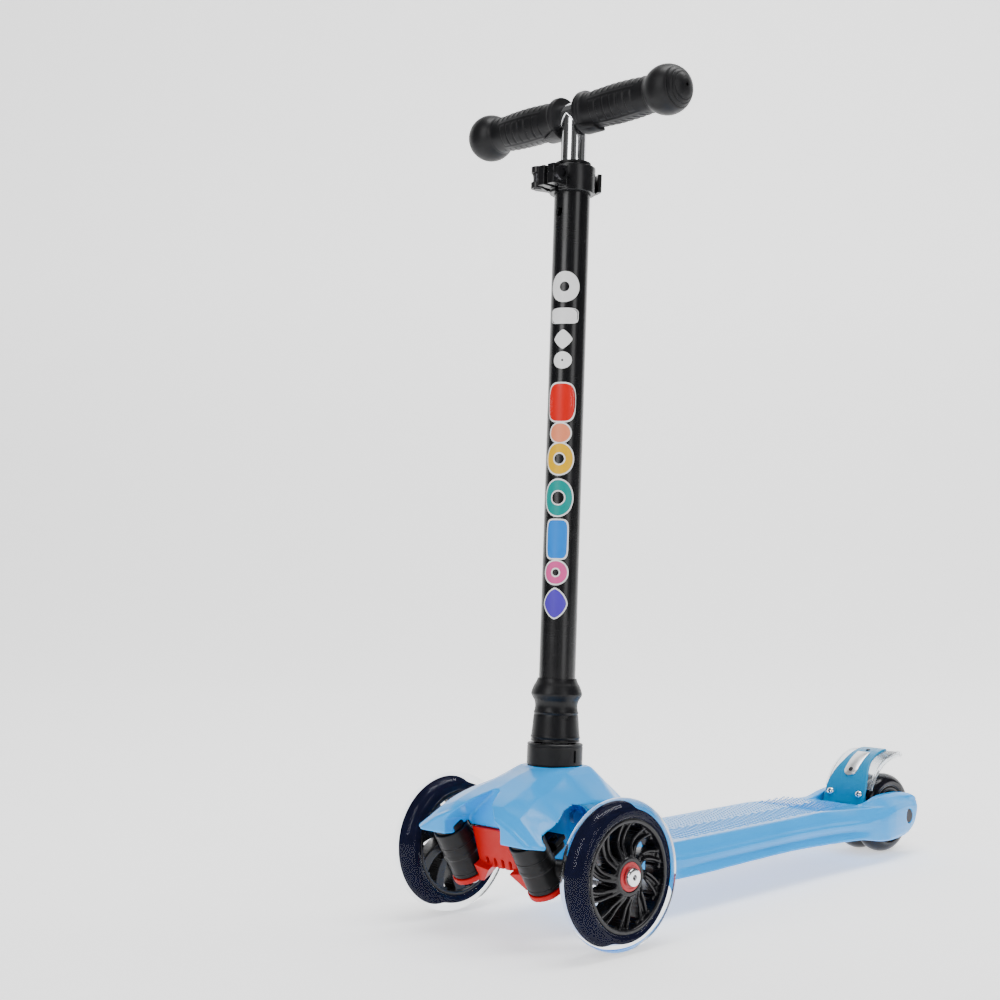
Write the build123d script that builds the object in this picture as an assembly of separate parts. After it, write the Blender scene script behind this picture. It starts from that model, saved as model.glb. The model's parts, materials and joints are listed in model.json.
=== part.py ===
from build123d import *
import os
from math import cos, radians, sin

# Three-wheeled kick scooter for small children.
# Millimetres. +Z is up, the scooter drives towards -Y, the rider's left is +X.
# The origin is on the floor, midway between the tip of the nose and the back of the rear wheels.

# ---- driving dimensions ----
FRONT_D = 120.0          # front wheels
FRONT_W = 26.0
REAR_D = 80.0            # rear wheels
REAR_W = 23.0
TRACK = 198.0            # between the front wheels' middles
REAR_PITCH = 25.2        # between the rear wheels' middles
WHEELBASE = 495.0
NOSE = 67.0              # the cowl's front ahead of the front axles
STEM_BACK = 28.0         # stem axis behind the front axles, at the cowl's top
COWL_TOP = 135.0
RAKE = 3.0               # the stem leans back, degrees
KINGPIN_TILT = 30.0      # the kingpins lean forward at the top, degrees
KINGPIN_X = 45.0
BAR_HALF = 118.0         # handlebar tube
BAR_S = 555.8            # handlebar axis, along the stem from the cowl's top
BALL_R = 20.8            # ball ends of the grips
BALL_X = 105.7
TUBE_R = 15.5            # lower tube
TUBE_BORE = 13.5
POST_R = 11.0            # polished upper post
POST_BORE = 9.5
FOLD_S = 45.0            # fold pin, along the stem
TUBE_TOP = 511.0
BOLT_R = 3.95            # M8 axle shanks, which run in 8 mm bearings
BEARING_R = 11.0
BEARING_BORE = 4.0
BEARING_W = 7.0
DECK_TOP = 61.0          # standing surface
BRAKE_AHEAD = 49.0       # the brake's hinge ahead of the rear axle
BRAKE_Z = 47.5
DRUM_BACK = 10.0         # the mudguard's centre of curvature behind the rear axle, and above it
DRUM_UP = 5.0
SKIN = 3.0               # moulded wall

FRONT_R = FRONT_D / 2
REAR_R = REAR_D / 2
FRONT_Y = NOSE - (NOSE + WHEELBASE + REAR_R) / 2
REAR_Y = FRONT_Y + WHEELBASE
BRAKE_Y = REAR_Y - BRAKE_AHEAD
DRUM_Y = REAR_Y + DRUM_BACK
DRUM_Z = REAR_R + DRUM_UP
SIDES = {"left": 1, "right": -1}

os.makedirs("parts", exist_ok=True)


def save(node, shape):
    """Write one sub-part; a list is a group of separate solids."""
    if isinstance(shape, list):
        shape = Compound(children=shape)
    export_step(shape, f"parts/{node}.step")


def rod_x(radius, x0, x1, y=0.0, z=0.0):
    """A cylinder along X from x0 to x1."""
    low, high = min(x0, x1), max(x0, x1)
    return Pos((low + high) / 2, y, z) * Rot(0, 90, 0) * Cylinder(radius, high - low)


def rod_y(radius, y0, y1, x=0.0, z=0.0):
    """A cylinder along Y from y0 to y1."""
    return Pos(x, (y0 + y1) / 2, z) * Rot(90, 0, 0) * Cylinder(radius, y1 - y0)


def rod_z(radius, z0, z1, x=0.0, y=0.0):
    """A cylinder along Z from z0 to z1."""
    return Pos(x, y, (z0 + z1) / 2) * Cylinder(radius, z1 - z0)


def block(x0, x1, y0, y1, z0, z1):
    """A box between two corners."""
    middle = Pos((x0 + x1) / 2, (y0 + y1) / 2, (z0 + z1) / 2)
    return middle * Box(abs(x1 - x0), y1 - y0, z1 - z0)


def side_plate(points, x0, x1):
    """An outline in the YZ plane, extruded from x0 to x1."""
    wire = Wire.make_polygon([(x0, y, z) for y, z in points])
    return Solid.extrude(Face(wire), Vector(x1 - x0, 0, 0))


def front_plate(points, y0, y1):
    """An outline in the XZ plane, extruded from y0 to y1."""
    wire = Wire.make_polygon([(x, y0, z) for x, z in points])
    return Solid.extrude(Face(wire), Vector(0, y1 - y0, 0))


def top_plate(points, z0, z1):
    """An outline in the XY plane, extruded from z0 to z1."""
    wire = Wire.make_polygon([(x, y, z0) for x, y in points])
    return Solid.extrude(Face(wire), Vector(0, 0, z1 - z0))


def spun_x(points):
    """An outline of (x, radius) points, turned about the X axis."""
    wire = Wire.make_polygon([(x, r, 0) for x, r in points])
    return Solid.revolve(Face(wire), 360, Axis.X)


def spun_z(points):
    """An outline of (radius, z) points, turned about the Z axis."""
    wire = Wire.make_polygon([(r, 0, z) for r, z in points])
    return Solid.revolve(Face(wire), 360, Axis.Z)


def on_stem(shape):
    """Place a shape drawn with Z along the stem, from the cowl's top."""
    return Pos(0, FRONT_Y + STEM_BACK, COWL_TOP) * Rot(-RAKE, 0, 0) * shape


KING_Y = FRONT_Y - 38.0
KING_Z = 66.0
SCREW_XS = (-23, -9, 9, 23)   # four screws from the bracket up into the nose
SCREW_Y = 37.0
PLATE_LOW, PLATE_HIGH = 21.0, 25.5   # the bracket's plates, along the kingpins
LUG_LOW, LUG_HIGH = 23.5, 27.5       # its upper lugs
LUG_R = 12.5


def on_kingpin(shape):
    """Place a shape drawn with Z along the kingpins, from the middle of the barrels."""
    return Pos(0, KING_Y, KING_Z) * Rot(KINGPIN_TILT, 0, 0) * shape


RECESS_R = 7.2           # recesses for the rear axle's ends in the fork
RECESS_X = 41.5

# ---- deck: one moulding with the nose cowl in front and the wheel fork behind ----
# Half sections across the deck: distance behind the front axles, then the lower edge,
# the side, the shoulder, the crown's flank and the middle, each as (x, z) or z.
SECTIONS = [
    (-67, (62, 83), (64, 85.5), (45, 97), (30, 102), 103.5),
    (-58, (73, 83), (75, 86.5), (46, 104), (28, 110), 112),
    (-36, (69, 83), (68, 100), (40, 115), (25, 119), 121),
    (-10, (58, 75), (57, 108), (34, 122), (20, 127), 129),
    (16, (57, 62), (55, 110), (30, 129), (24, 134), 135),
    (44, (57, 46), (55, 106), (30, 128), (24, 133.5), 135),
    (60, (57, 38), (54, 96), (32, 117), (20, 124), 126),
    (90, (57, 34), (52, 73), (40, 88), (20, 97), 99),
    (120, (57, 32), (55, 50), (45, DECK_TOP), (20, DECK_TOP), DECK_TOP),
    (270, (54, 33), (54, 50), (45, DECK_TOP), (20, DECK_TOP), DECK_TOP),
    (340, (52, 31), (52, 48), (44, DECK_TOP), (20, DECK_TOP), DECK_TOP),
    (400, (52, 28), (52, 46), (42, 57.5), (20, 57.5), 57.5),
    (451, (53, 22), (53, 46), (47, 55), (20, 54.5), 54.5),
]


def section_wire(section, inset=0.0, floor=None):
    """The closed outline of one section, moved inwards by inset."""
    back, edge, side, shoulder, flank, crown = section
    half = [edge, side, shoulder, flank]
    half = [(x - inset, z - (inset if n else 0)) for n, (x, z) in enumerate(half)]
    if floor is not None:
        half[0] = (half[0][0], floor)
    around = half + [(0, crown - inset)] + [(-x, z) for x, z in reversed(half)]
    return Wire.make_polygon([(x, FRONT_Y + back, z) for x, z in around])


def make_deck():
    outer = Solid.make_loft([section_wire(s) for s in SECTIONS], ruled=True)

    # the nose is a shell, open below
    ends = [(-64.0,) + SECTIONS[0][1:]] + SECTIONS[1:7]
    hollow = Solid.make_loft([section_wire(s, SKIN, 10.0) for s in ends], ruled=True)
    valley = [(-33, 60), (33, 60), (33, 96), (0, 122), (-33, 96)]
    valley_cut = front_plate(valley, FRONT_Y - 72, FRONT_Y - 38)
    wide = [(-35.5, 60), (35.5, 60), (35.5, 98), (0, 126), (-35.5, 98)]
    valley_wall = front_plate(wide, FRONT_Y - 75, FRONT_Y - 36)
    deck = outer - valley_cut - (hollow - valley_wall)
    deck -= block(-36, 36, FRONT_Y - 45, FRONT_Y - 30, 40, 88)

    # wheel arches beside the knuckles
    arch = [(-56, 40), (-56, 86), (-53, 92), (-40, 98.5), (-20, 106.5), (-6, 109.5)]
    arch += [(8, 106), (22, 90), (34, 62), (38, 20), (-56, 20)]
    arch = [(FRONT_Y + y, z) for y, z in arch]
    for side in SIDES.values():
        deck -= side_plate(arch, side * 44, side * 90)
        channel = rod_z(16.2, -60, LUG_LOW, side * KINGPIN_X, 0)
        channel += rod_z(LUG_R + 0.5, LUG_LOW, LUG_HIGH + 0.5, side * KINGPIN_X, 0)
        deck -= on_kingpin(channel)

    # tower that holds the stem's root, with a rib back to the deck
    tower = on_stem(rod_z(25.0, -66, -2))
    rib = side_plate(
        [
            (FRONT_Y + 40, 62),
            (FRONT_Y + 40, 126),
            (FRONT_Y + 62, 120),
            (FRONT_Y + 92, 90),
            (FRONT_Y + 92, 62),
        ],
        -3,
        3,
    )
    floor = block(-55, 55, FRONT_Y + 50, FRONT_Y + 66, 40, 66)
    deck = deck + tower + rib + floor
    for x in SCREW_XS:
        boss = on_kingpin(rod_z(4.5, PLATE_HIGH, 46, x, SCREW_Y))
        deck += boss & outer
    deck -= on_stem(rod_z(18.0, -70, 5))
    deck -= on_stem(rod_z(22.0, -10, 5))
    deck -= on_stem(rod_z(23.5, -1, 8))
    for x in SCREW_XS:
        deck -= on_kingpin(rod_z(2.0, 20, 38, x, SCREW_Y))
    deck -= on_stem(rod_x(3.0, -60, 60, 0, -42))

    # pockets under the standing surface, between ribs
    rows = 7
    first, last = FRONT_Y + 104, FRONT_Y + 425
    step = (last - first) / rows
    for row in range(rows):
        y0 = first + row * step + 2
        y1 = first + (row + 1) * step - 2
        roof = min(DECK_TOP, 61 - max(0, y1 - FRONT_Y - 340) * 0.06) - 4
        for x0, x1 in ((-42, -17), (-13, 13), (17, 42)):
            deck -= block(x0, x1, y0, y1, 10, roof)

    # the fork's two cheeks around the rear wheels
    cheek = [(400, 57), (430, 57), (446, 59.5), (458, 62.3), (470, 63.5), (484, 63.6), (500, 62.3)]
    cheek += [(514, 60), (519, 46), (514, 31), (505, 23.4), (488, 20.4), (445, 21), (400, 28)]
    cheek = [(FRONT_Y + y, z) for y, z in cheek]
    for side in SIDES.values():
        outer_face = [(54, 448), (46.5, 495), (43, 520), (60, 520), (60, 448)]
        outer_face = [(side * x, FRONT_Y + y) for x, y in outer_face]
        shoulder = [(side * 38, 65), (side * 54, 51), (side * 60, 51), (side * 60, 75), (side * 38, 75)]
        deck += side_plate(cheek, side * 28.5, side * 52.5)
        deck -= top_plate(outer_face, 15, 75)
        deck -= front_plate(shoulder, FRONT_Y + 440, FRONT_Y + 525)
        deck -= rod_x(RECESS_R, side * RECESS_X, side * 60, REAR_Y, REAR_R)
    deck -= rod_x(BOLT_R, -60, 60, REAR_Y, REAR_R)

    # pocket for the brake's hinge
    deck -= block(-28.5, 28.5, BRAKE_Y - 6.5, FRONT_Y + 460, 41, 90)
    deck -= rod_x(3.0, -38, 38, BRAKE_Y, BRAKE_Z)
    return deck


save("deck", make_deck())


# ---- steering bracket: carries both kingpins under the nose ----
BARREL_R = 15.0
BARREL_LOW, BARREL_HIGH = -20.5, 23.0


def make_bracket():
    front = [(-40.5, 87.3), (-35.6, 87.3), (-35.6, 91.5), (-34.2, 94), (-32.4, 94.6)]
    front += [(-32.9, 93.2), (-25.4, 80.2), (-15.9, 63.7), (-20, 53), (-31, 54)]
    wall = side_plate([(FRONT_Y + y, z) for y, z in front], -28.3, 28.3)
    for n in range(5):
        x = -18 + 9 * n
        wall -= on_kingpin(block(x - 1.5, x + 1.5, -12, 5, -20, -6))
    plates = block(-28, 28, 18.5, 42, PLATE_LOW, PLATE_HIGH)
    plates += block(-54, 54, 18.5, 26, PLATE_LOW, PLATE_HIGH)
    arm = [(12, -12), (28.3, -9), (28.3, -21), (45, -21), (45, -25.5), (25, -25.5)]
    for side in SIDES.values():
        drop = front_plate([(side * x, z) for x, z in arm], -6, 10)
        lugs = rod_z(LUG_R, LUG_LOW, LUG_HIGH, side * KINGPIN_X, 0)
        lugs += rod_z(16.0, -PLATE_HIGH, -PLATE_LOW, side * KINGPIN_X, 0)
        plates += drop + lugs
        plates += block(side * 37, side * 53, 0, 22, LUG_LOW, LUG_HIGH)
    plates += block(-2, 2, 21, 31, 9, PLATE_LOW)
    for side in SIDES.values():
        plates -= rod_z(4.0, -40, 40, side * KINGPIN_X, 0)
    for x in SCREW_XS:
        plates -= rod_z(2.0, 15, 30, x, SCREW_Y)
    return wall + on_kingpin(plates)


save("steering_bracket", make_bracket())
screws = []
for x in SCREW_XS:
    screw = rod_z(2.0, PLATE_LOW, 38, x, SCREW_Y) + rod_z(3.8, PLATE_LOW - 3, PLATE_LOW, x, SCREW_Y)
    screws.append(on_kingpin(screw))
save("bracket_screws", screws)

# ---- kingpins, knuckles and front axle bolts ----
WHEEL_X = TRACK / 2
NUT_R = 6.5
nuts = []
for name, side in SIDES.items():
    shank = rod_z(4.0, -33, LUG_HIGH, side * KINGPIN_X, 0)
    head = rod_z(NUT_R, LUG_HIGH, LUG_HIGH + 4, side * KINGPIN_X, 0)
    save(f"kingpin_{name}", on_kingpin(shank + head))
    nut = Pos(side * KINGPIN_X, 0, -PLATE_HIGH - 3) * extrude(RegularPolygon(NUT_R, 6), 6, both=True)
    nut &= rod_z(20, -PLATE_HIGH - 5.5, -PLATE_HIGH, side * KINGPIN_X, 0)
    nuts.append(on_kingpin(nut - rod_z(4.0, -40, 0, side * KINGPIN_X, 0)))
save("kingpin_nuts", nuts)

ARM_LENGTH = 26.0        # kingpin to the tie rod's pin
BOSS_FACE = WHEEL_X - FRONT_W / 2 - 0.6


def make_knuckle(side):
    x = side * KINGPIN_X
    barrel = rod_z(BARREL_R, BARREL_LOW, BARREL_HIGH, x, 0)
    barrel += rod_z(BARREL_R + 0.6, -1.5, 1.5, x, 0)
    arm = block(x - 6, x + 6, 0, ARM_LENGTH, -4, 1)
    arm += rod_z(6.0, -4, 1, x, ARM_LENGTH)
    arm += rod_z(2.5, 1, 8, x, ARM_LENGTH)
    turned = on_kingpin(barrel + arm)
    start = Vector(x, KING_Y + 2, KING_Z - 4)
    end = Vector(side * (BOSS_FACE - 8), FRONT_Y - 1, FRONT_R)
    along = end - start
    reach = Plane(origin=start, z_dir=along) * Pos(0, 0, along.length / 2) * Cylinder(8.0, along.length)
    boss = rod_x(12.0, side * (BOSS_FACE - 18), side * BOSS_FACE, FRONT_Y, FRONT_R)
    nose = rod_x(5.8, side * BOSS_FACE, side * (WHEEL_X - 11.7), FRONT_Y, FRONT_R)
    whole = turned + reach + boss + nose
    whole -= rod_x(BOLT_R, side * (BOSS_FACE - 14), side * 140, FRONT_Y, FRONT_R)
    whole -= on_kingpin(rod_z(4.06, -40, 40, x, 0))
    return whole


for name, side in SIDES.items():
    save(f"knuckle_{name}", make_knuckle(side))
    head_x = WHEEL_X + 12.3
    shank = rod_x(BOLT_R, side * (BOSS_FACE - 14), side * head_x, FRONT_Y, FRONT_R)
    head = rod_x(6.5, side * head_x, side * (head_x + 4), FRONT_Y, FRONT_R)
    socket = rod_x(2.4, side * (head_x + 1.5), side * (head_x + 9), FRONT_Y, FRONT_R)
    shoulder = rod_x(5.5, side * (WHEEL_X + 11.7), side * head_x, FRONT_Y, FRONT_R)
    save(f"front_axle_bolt_{name}", shank + shoulder + head - socket)

# ---- tie rod and its two centring springs ----
ROD_LOW, ROD_HIGH = 2.0, 6.0
LUG_X = 30.0
rod = block(-52, 52, ARM_LENGTH - 7, ARM_LENGTH + 6, ROD_LOW, ROD_HIGH)
for side in SIDES.values():
    x = side * KINGPIN_X
    slot = block(x - 2.8, x + 2.8, ARM_LENGTH - 1.6, ARM_LENGTH, 0, 10)
    slot += rod_z(2.8, 0, 10, x, ARM_LENGTH) + rod_z(2.8, 0, 10, x, ARM_LENGTH - 1.6)
    rod -= slot
    rod += block(side * LUG_X - 1.5, side * LUG_X + 1.5, 21, 31, ROD_HIGH, 19)
save("tie_rod", on_kingpin(rod))
for name, side in SIDES.items():
    coil = rod_x(5.0, side * 2, side * (LUG_X - 1.5), ARM_LENGTH, 14)
    coil -= rod_x(3.8, side * 1, side * LUG_X, ARM_LENGTH, 14)
    save(f"centring_spring_{name}", on_kingpin(coil))


# ---- wheels ----
def make_hub(rim_r, rim_w, boss_r, width, spokes):
    """A spoked hub about X, bored for two bearings."""
    half = width / 2
    hub = rod_x(rim_r, -rim_w / 2, rim_w / 2) - rod_x(rim_r - 4.5, -rim_w, rim_w)
    hub += rod_x(boss_r, -half, half)
    for n in range(spokes):
        spoke = block(-5, 5, -2.2, 2.2, boss_r - 2, rim_r - 2)
        hub += Rot(360 * n / spokes, 0, 0) * spoke
    hub -= rod_x(6.5, -half, half)
    hub -= rod_x(BEARING_R, half - 0.4 - BEARING_W, half)
    hub -= rod_x(BEARING_R, -half, -half + 0.4 + BEARING_W)
    return hub


def make_bearing(x0):
    return rod_x(BEARING_R, x0, x0 + BEARING_W) - rod_x(BEARING_BORE, x0 - 1, x0 + BEARING_W + 1)


def tyre_outline(radius, width, bead, bead_w):
    """The tyre's section: flat flanks and a round crown made of short chords."""
    half = width / 2
    drop = half * 0.75
    crown = []
    for n in range(13):
        angle = radians(15 * n)
        crown.append((-half * cos(angle), radius - drop + drop * sin(angle)))
    return [(-bead_w / 2, bead)] + [(-half, bead + 2)] + crown + [(half, bead + 2), (bead_w / 2, bead)]


HUB_R = 45.0
CORE_R = 54.0
CORE_W = 20.0
for name, side in SIDES.items():
    here = Pos(side * WHEEL_X, FRONT_Y, FRONT_R)
    save(f"front_hub_{name}", here * make_hub(HUB_R, 22, 15, 24, 10))
    core = rod_x(CORE_R, -CORE_W / 2, CORE_W / 2) - rod_x(HUB_R, -CORE_W, CORE_W)
    save(f"front_light_core_{name}", here * core)
    tyre = spun_x(tyre_outline(FRONT_R, FRONT_W, HUB_R, 22)) - rod_x(CORE_R, -CORE_W / 2, CORE_W / 2)
    save(f"front_tyre_{name}", here * tyre)
    save(f"front_bearings_{name}", [here * make_bearing(4.6), here * make_bearing(-4.6 - BEARING_W)])
    seals = []
    for end in (-1, 1):
        ring = rod_x(10.2, end * 11.6, end * 11.95) - rod_x(7.2, -20, 20)
        seals.append(here * ring)
    save(f"front_seals_{name}", seals)

REAR_HUB_R = 27.0
REAR_HUB_W = 22.2
for name, side in SIDES.items():
    here = Pos(side * REAR_PITCH / 2, REAR_Y, REAR_R)
    save(f"rear_hub_{name}", here * make_hub(REAR_HUB_R, 20, 14, REAR_HUB_W, 6))
    tyre = spun_x(tyre_outline(REAR_R, REAR_W, REAR_HUB_R, 20))
    save(f"rear_tyre_{name}", here * tyre)
    x0 = REAR_HUB_W / 2 - 0.4 - BEARING_W
    save(f"rear_bearings_{name}", [here * make_bearing(x0), here * make_bearing(-x0 - BEARING_W)])

HEAD_X = RECESS_X + 4.5
axle = rod_x(BOLT_R, -HEAD_X, RECESS_X, REAR_Y, REAR_R) + rod_x(NUT_R, RECESS_X, HEAD_X, REAR_Y, REAR_R)
save("rear_axle", axle)
nut = Pos(-RECESS_X, REAR_Y, REAR_R) * Rot(0, -90, 0) * extrude(RegularPolygon(NUT_R, 6), 4.5)
save("rear_axle_nut", nut - rod_x(BOLT_R, -60, 60, REAR_Y, REAR_R))
spacers = []
for x0, x1 in ((-28.5, -23.6), (-1.6, 1.6), (23.6, 28.5)):
    spacer = rod_x(5.8, x0, x1, REAR_Y, REAR_R)
    spacers.append(spacer - rod_x(BOLT_R, -60, 60, REAR_Y, REAR_R))
save("rear_spacers", spacers)


# ---- brake: a sprung plate over the rear wheels, with a clear mudguard under it ----
def arc_plate(inner, outer, start, end, half_width, flare=0.0):
    """Part of a drum over the rear wheels, in facets of 5 degrees that nest with each other.
    Its tail, behind 85 degrees, opens out by flare."""
    low, high = [], []
    for degrees in range(start, end + 1, 5):
        angle = radians(degrees)
        out = flare * (max(0, 85 - degrees) / 35) ** 2
        low.append((DRUM_Y + (inner + out) * cos(angle), DRUM_Z + (inner + out) * sin(angle)))
        high.append((DRUM_Y + (outer + out) * cos(angle), DRUM_Z + (outer + out) * sin(angle)))
    return side_plate(low + high[::-1], -half_width, half_width)


GUARD_IN, GUARD_OUT = 54.5, 57.0
PLATE_OUT = 59.5
BADGE_OUT = 61.0
SCREW_AT = 162           # degrees round the drum: dome screws, badge screw, bare screw
BADGE_AT = 137
BARE_AT = 103
plate = arc_plate(GUARD_OUT, PLATE_OUT, 90, 165, 24)
for side in SIDES.values():
    taper = [(24.5, 450), (23, 453.5), (19.5, 463), (15.5, 475), (14.5, 485), (14.5, 506), (30, 506), (30, 450)]
    plate -= top_plate([(side * x, FRONT_Y + y) for x, y in taper], 50, 120)
knuckles = rod_x(5.5, -24, 24, BRAKE_Y, BRAKE_Z) - rod_x(20, -9, 9, BRAKE_Y, BRAKE_Z)
web = side_plate(
    [
        (BRAKE_Y - 2, BRAKE_Z + 4),
        (BRAKE_Y + 4.5, BRAKE_Z + 2.5),
        (BRAKE_Y + 5.2, BRAKE_Z + 15.5),
        (BRAKE_Y + 2.6, BRAKE_Z + 15),
        (BRAKE_Y + 1.45, BRAKE_Z + 12.9),
    ],
    -24,
    24,
)
plate = plate + knuckles + web - arc_plate(40, GUARD_OUT, 20, 160, 40)
plate -= rod_x(6.0, -9, 9, BRAKE_Y, BRAKE_Z)
plate -= rod_x(3.06, -40, 40, BRAKE_Y, BRAKE_Z)
TAIL_FLARE = 5.0
guard = arc_plate(GUARD_IN, GUARD_OUT, 60, 155, 27.2, TAIL_FLARE)
lips = arc_plate(52, GUARD_IN, 65, 155, 27.2, TAIL_FLARE) - arc_plate(40, 66, 40, 160, 25.2)
guard += lips
for side in SIDES.values():
    corner = [(side * 28, FRONT_Y + 493), (side * 13.5, FRONT_Y + 536), (side * 28, FRONT_Y + 536)]
    guard -= top_plate(corner, 60, 120)


def on_plate(shape, degrees, radius):
    """Place a shape drawn with Z outwards on the brake plate."""
    angle = radians(degrees)
    at = Pos(0, DRUM_Y + radius * cos(angle), DRUM_Z + radius * sin(angle))
    return at * Rot(degrees - 90, 0, 0) * shape


plate_screws = []
for x in (-17, 17):
    screw = rod_z(4.0, 0, 2.6, x, 0) + rod_z(2.0, -5, 0, x, 0)
    plate_screws.append(on_plate(screw, SCREW_AT, PLATE_OUT))
    hole = on_plate(rod_z(2.0, -5, 3, x, 0), SCREW_AT, PLATE_OUT)
    plate -= hole
    guard -= hole
badge = arc_plate(PLATE_OUT, BADGE_OUT, 110, 145, 7.5)
badge &= arc_plate(50, 70, 110, 135, 7.5) + on_plate(rod_z(7.5, -3, 3), BADGE_AT, BADGE_OUT)
badge_screws = []
for degrees, radius in ((BADGE_AT, BADGE_OUT), (BARE_AT, PLATE_OUT)):
    screw = rod_z(2.6, 0, 1.2) + rod_z(1.5, -5, 0)
    badge_screws.append(on_plate(screw, degrees, radius))
    hole = on_plate(rod_z(1.5, -6, 3), degrees, radius)
    plate -= hole
    badge -= hole
    guard -= hole
save("brake_plate", plate)
save("brake_mudguard", guard)
save("brake_badge", badge)
save("brake_badge_screws", badge_screws)
save("brake_plate_screws", plate_screws)
save("brake_pin", rod_x(3.0, -36, 36, BRAKE_Y, BRAKE_Z))
spring = rod_x(5.2, -8, 8, BRAKE_Y, BRAKE_Z) - rod_x(3.5, -10, 10, BRAKE_Y, BRAKE_Z)
save("brake_spring", spring)

# ---- stem root: collar on the nose, folding joint and its lock sleeve ----
ring = rod_z(23.5, -1, 17) + rod_z(22.0, -10, -1) - rod_z(18.0, -12, 20)
for side in SIDES.values():
    ring -= block(side * 21.5 - 1.2 + side * 2, side * 21.5 + 1.2 + side * 2, -1.5, 1.5, 1, 12)
save("stem_collar", on_stem(ring))
tongue = block(-6, 6, -9, 9, 14, FOLD_S) + rod_x(9.0, -6, 6, 0, FOLD_S)
root = rod_z(18.0, -62, 14) + tongue
root -= rod_z(12.0, -62, 4)
root -= rod_x(4.0, -20, 20, 0, FOLD_S)
root -= rod_x(3.0, -60, 60, 0, -42)
save("fold_tongue", on_stem(root))
save("fold_pin", on_stem(rod_x(4.0, -13, 13, 0, FOLD_S)))
bolt = rod_x(3.0, -31, 27, 0, -42) + rod_x(5.5, 25, 29, 0, -42)
save("stem_bolt", on_stem(bolt))
nut = Pos(-27.5, 0, -42) * Rot(0, 90, 0) * extrude(RegularPolygon(5.8, 6), 2.5, both=True)
save("stem_bolt_nut", on_stem(nut - rod_x(3.0, -60, 60, 0, -42)))

cheeks = block(-12.5, 12.5, -9, 9, FOLD_S, FOLD_S + 10) + rod_x(9.0, -12.5, 12.5, 0, FOLD_S)
cheeks -= block(-6.4, 6.4, -20, 20, FOLD_S - 20, FOLD_S + 10)
fork = cheeks + rod_z(TUBE_R, FOLD_S + 10, FOLD_S + 15) + rod_z(TUBE_BORE, FOLD_S + 15, FOLD_S + 42)
fork -= rod_z(10.5, FOLD_S + 18, FOLD_S + 45)
fork -= rod_x(4.06, -20, 20, 0, FOLD_S)
save("fold_fork", on_stem(fork))

SLEEVE = [(20.7, 18.5), (19.8, 30), (18.7, 42), (17.9, 48), (18.6, 52), (20.3, 55)]
SLEEVE += [(21.6, 58), (20.9, 61), (19.3, 65), (17.6, 68), (16.6, 71)]
BORE = [(TUBE_R + 0.08, 71), (TUBE_R + 0.08, 59), (16.2, 57), (16.2, 42), (18.0, 34), (18.0, 18.5)]
sleeve = spun_z(SLEEVE + BORE)
save("lock_sleeve", on_stem(sleeve))

# ---- lower tube, clamp and telescopic post ----
STOP_S = 468.6           # stop hole for the snap button, near the tube's top
TRAVEL = 200.0
BUTTON_S = STOP_S - TRAVEL
tube = rod_z(TUBE_R, FOLD_S + 15, TUBE_TOP) - rod_z(TUBE_BORE, FOLD_S, TUBE_TOP + 5)
tube -= rod_y(4.0, -30, 0, 0, STOP_S)
tube -= block(-1.5, 1.5, 5, 30, TUBE_TOP - 28, TUBE_TOP + 5)
save("lower_tube", on_stem(tube))
guide = rod_z(TUBE_BORE, TUBE_TOP - 26, TUBE_TOP) + rod_z(TUBE_R, TUBE_TOP, TUBE_TOP + 2)
save("post_guide", on_stem(guide - rod_z(POST_R + 0.08, 400, 600)))

CLAMP_LOW, CLAMP_HIGH = 486.0, 509.0
CLAMP_R = 19.5
EAR_Y = -27.0
CLAMP_S = (CLAMP_LOW + CLAMP_HIGH) / 2
collar = rod_z(CLAMP_R, CLAMP_LOW, CLAMP_HIGH)
collar += block(-9.5, 9.5, -33, -10, CLAMP_LOW + 3, CLAMP_HIGH - 3)
collar -= rod_z(TUBE_R, CLAMP_LOW - 5, CLAMP_HIGH + 5)
collar -= block(-2, 2, -50, -5, CLAMP_LOW - 5, CLAMP_HIGH + 5)
collar -= rod_x(3.0, -20, 20, EAR_Y, CLAMP_S)
save("clamp_collar", on_stem(collar))
BARREL_X = -15.5
save("clamp_bolt", on_stem(rod_x(3.0, BARREL_X, 13, EAR_Y, CLAMP_S)))
nut = rod_x(6.2, 9.5, 14.5, EAR_Y, CLAMP_S) - rod_x(3.0, 9, 13, EAR_Y, CLAMP_S)
nut -= rod_x(4.0, 13, 20, EAR_Y, CLAMP_S)
save("clamp_nut", on_stem(nut))
pin = rod_z(3.4, CLAMP_LOW + 1.5, CLAMP_HIGH - 1.5, BARREL_X, EAR_Y)
save("clamp_barrel", on_stem(pin - rod_x(3.0, BARREL_X, 20, EAR_Y, CLAMP_S)))


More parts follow.
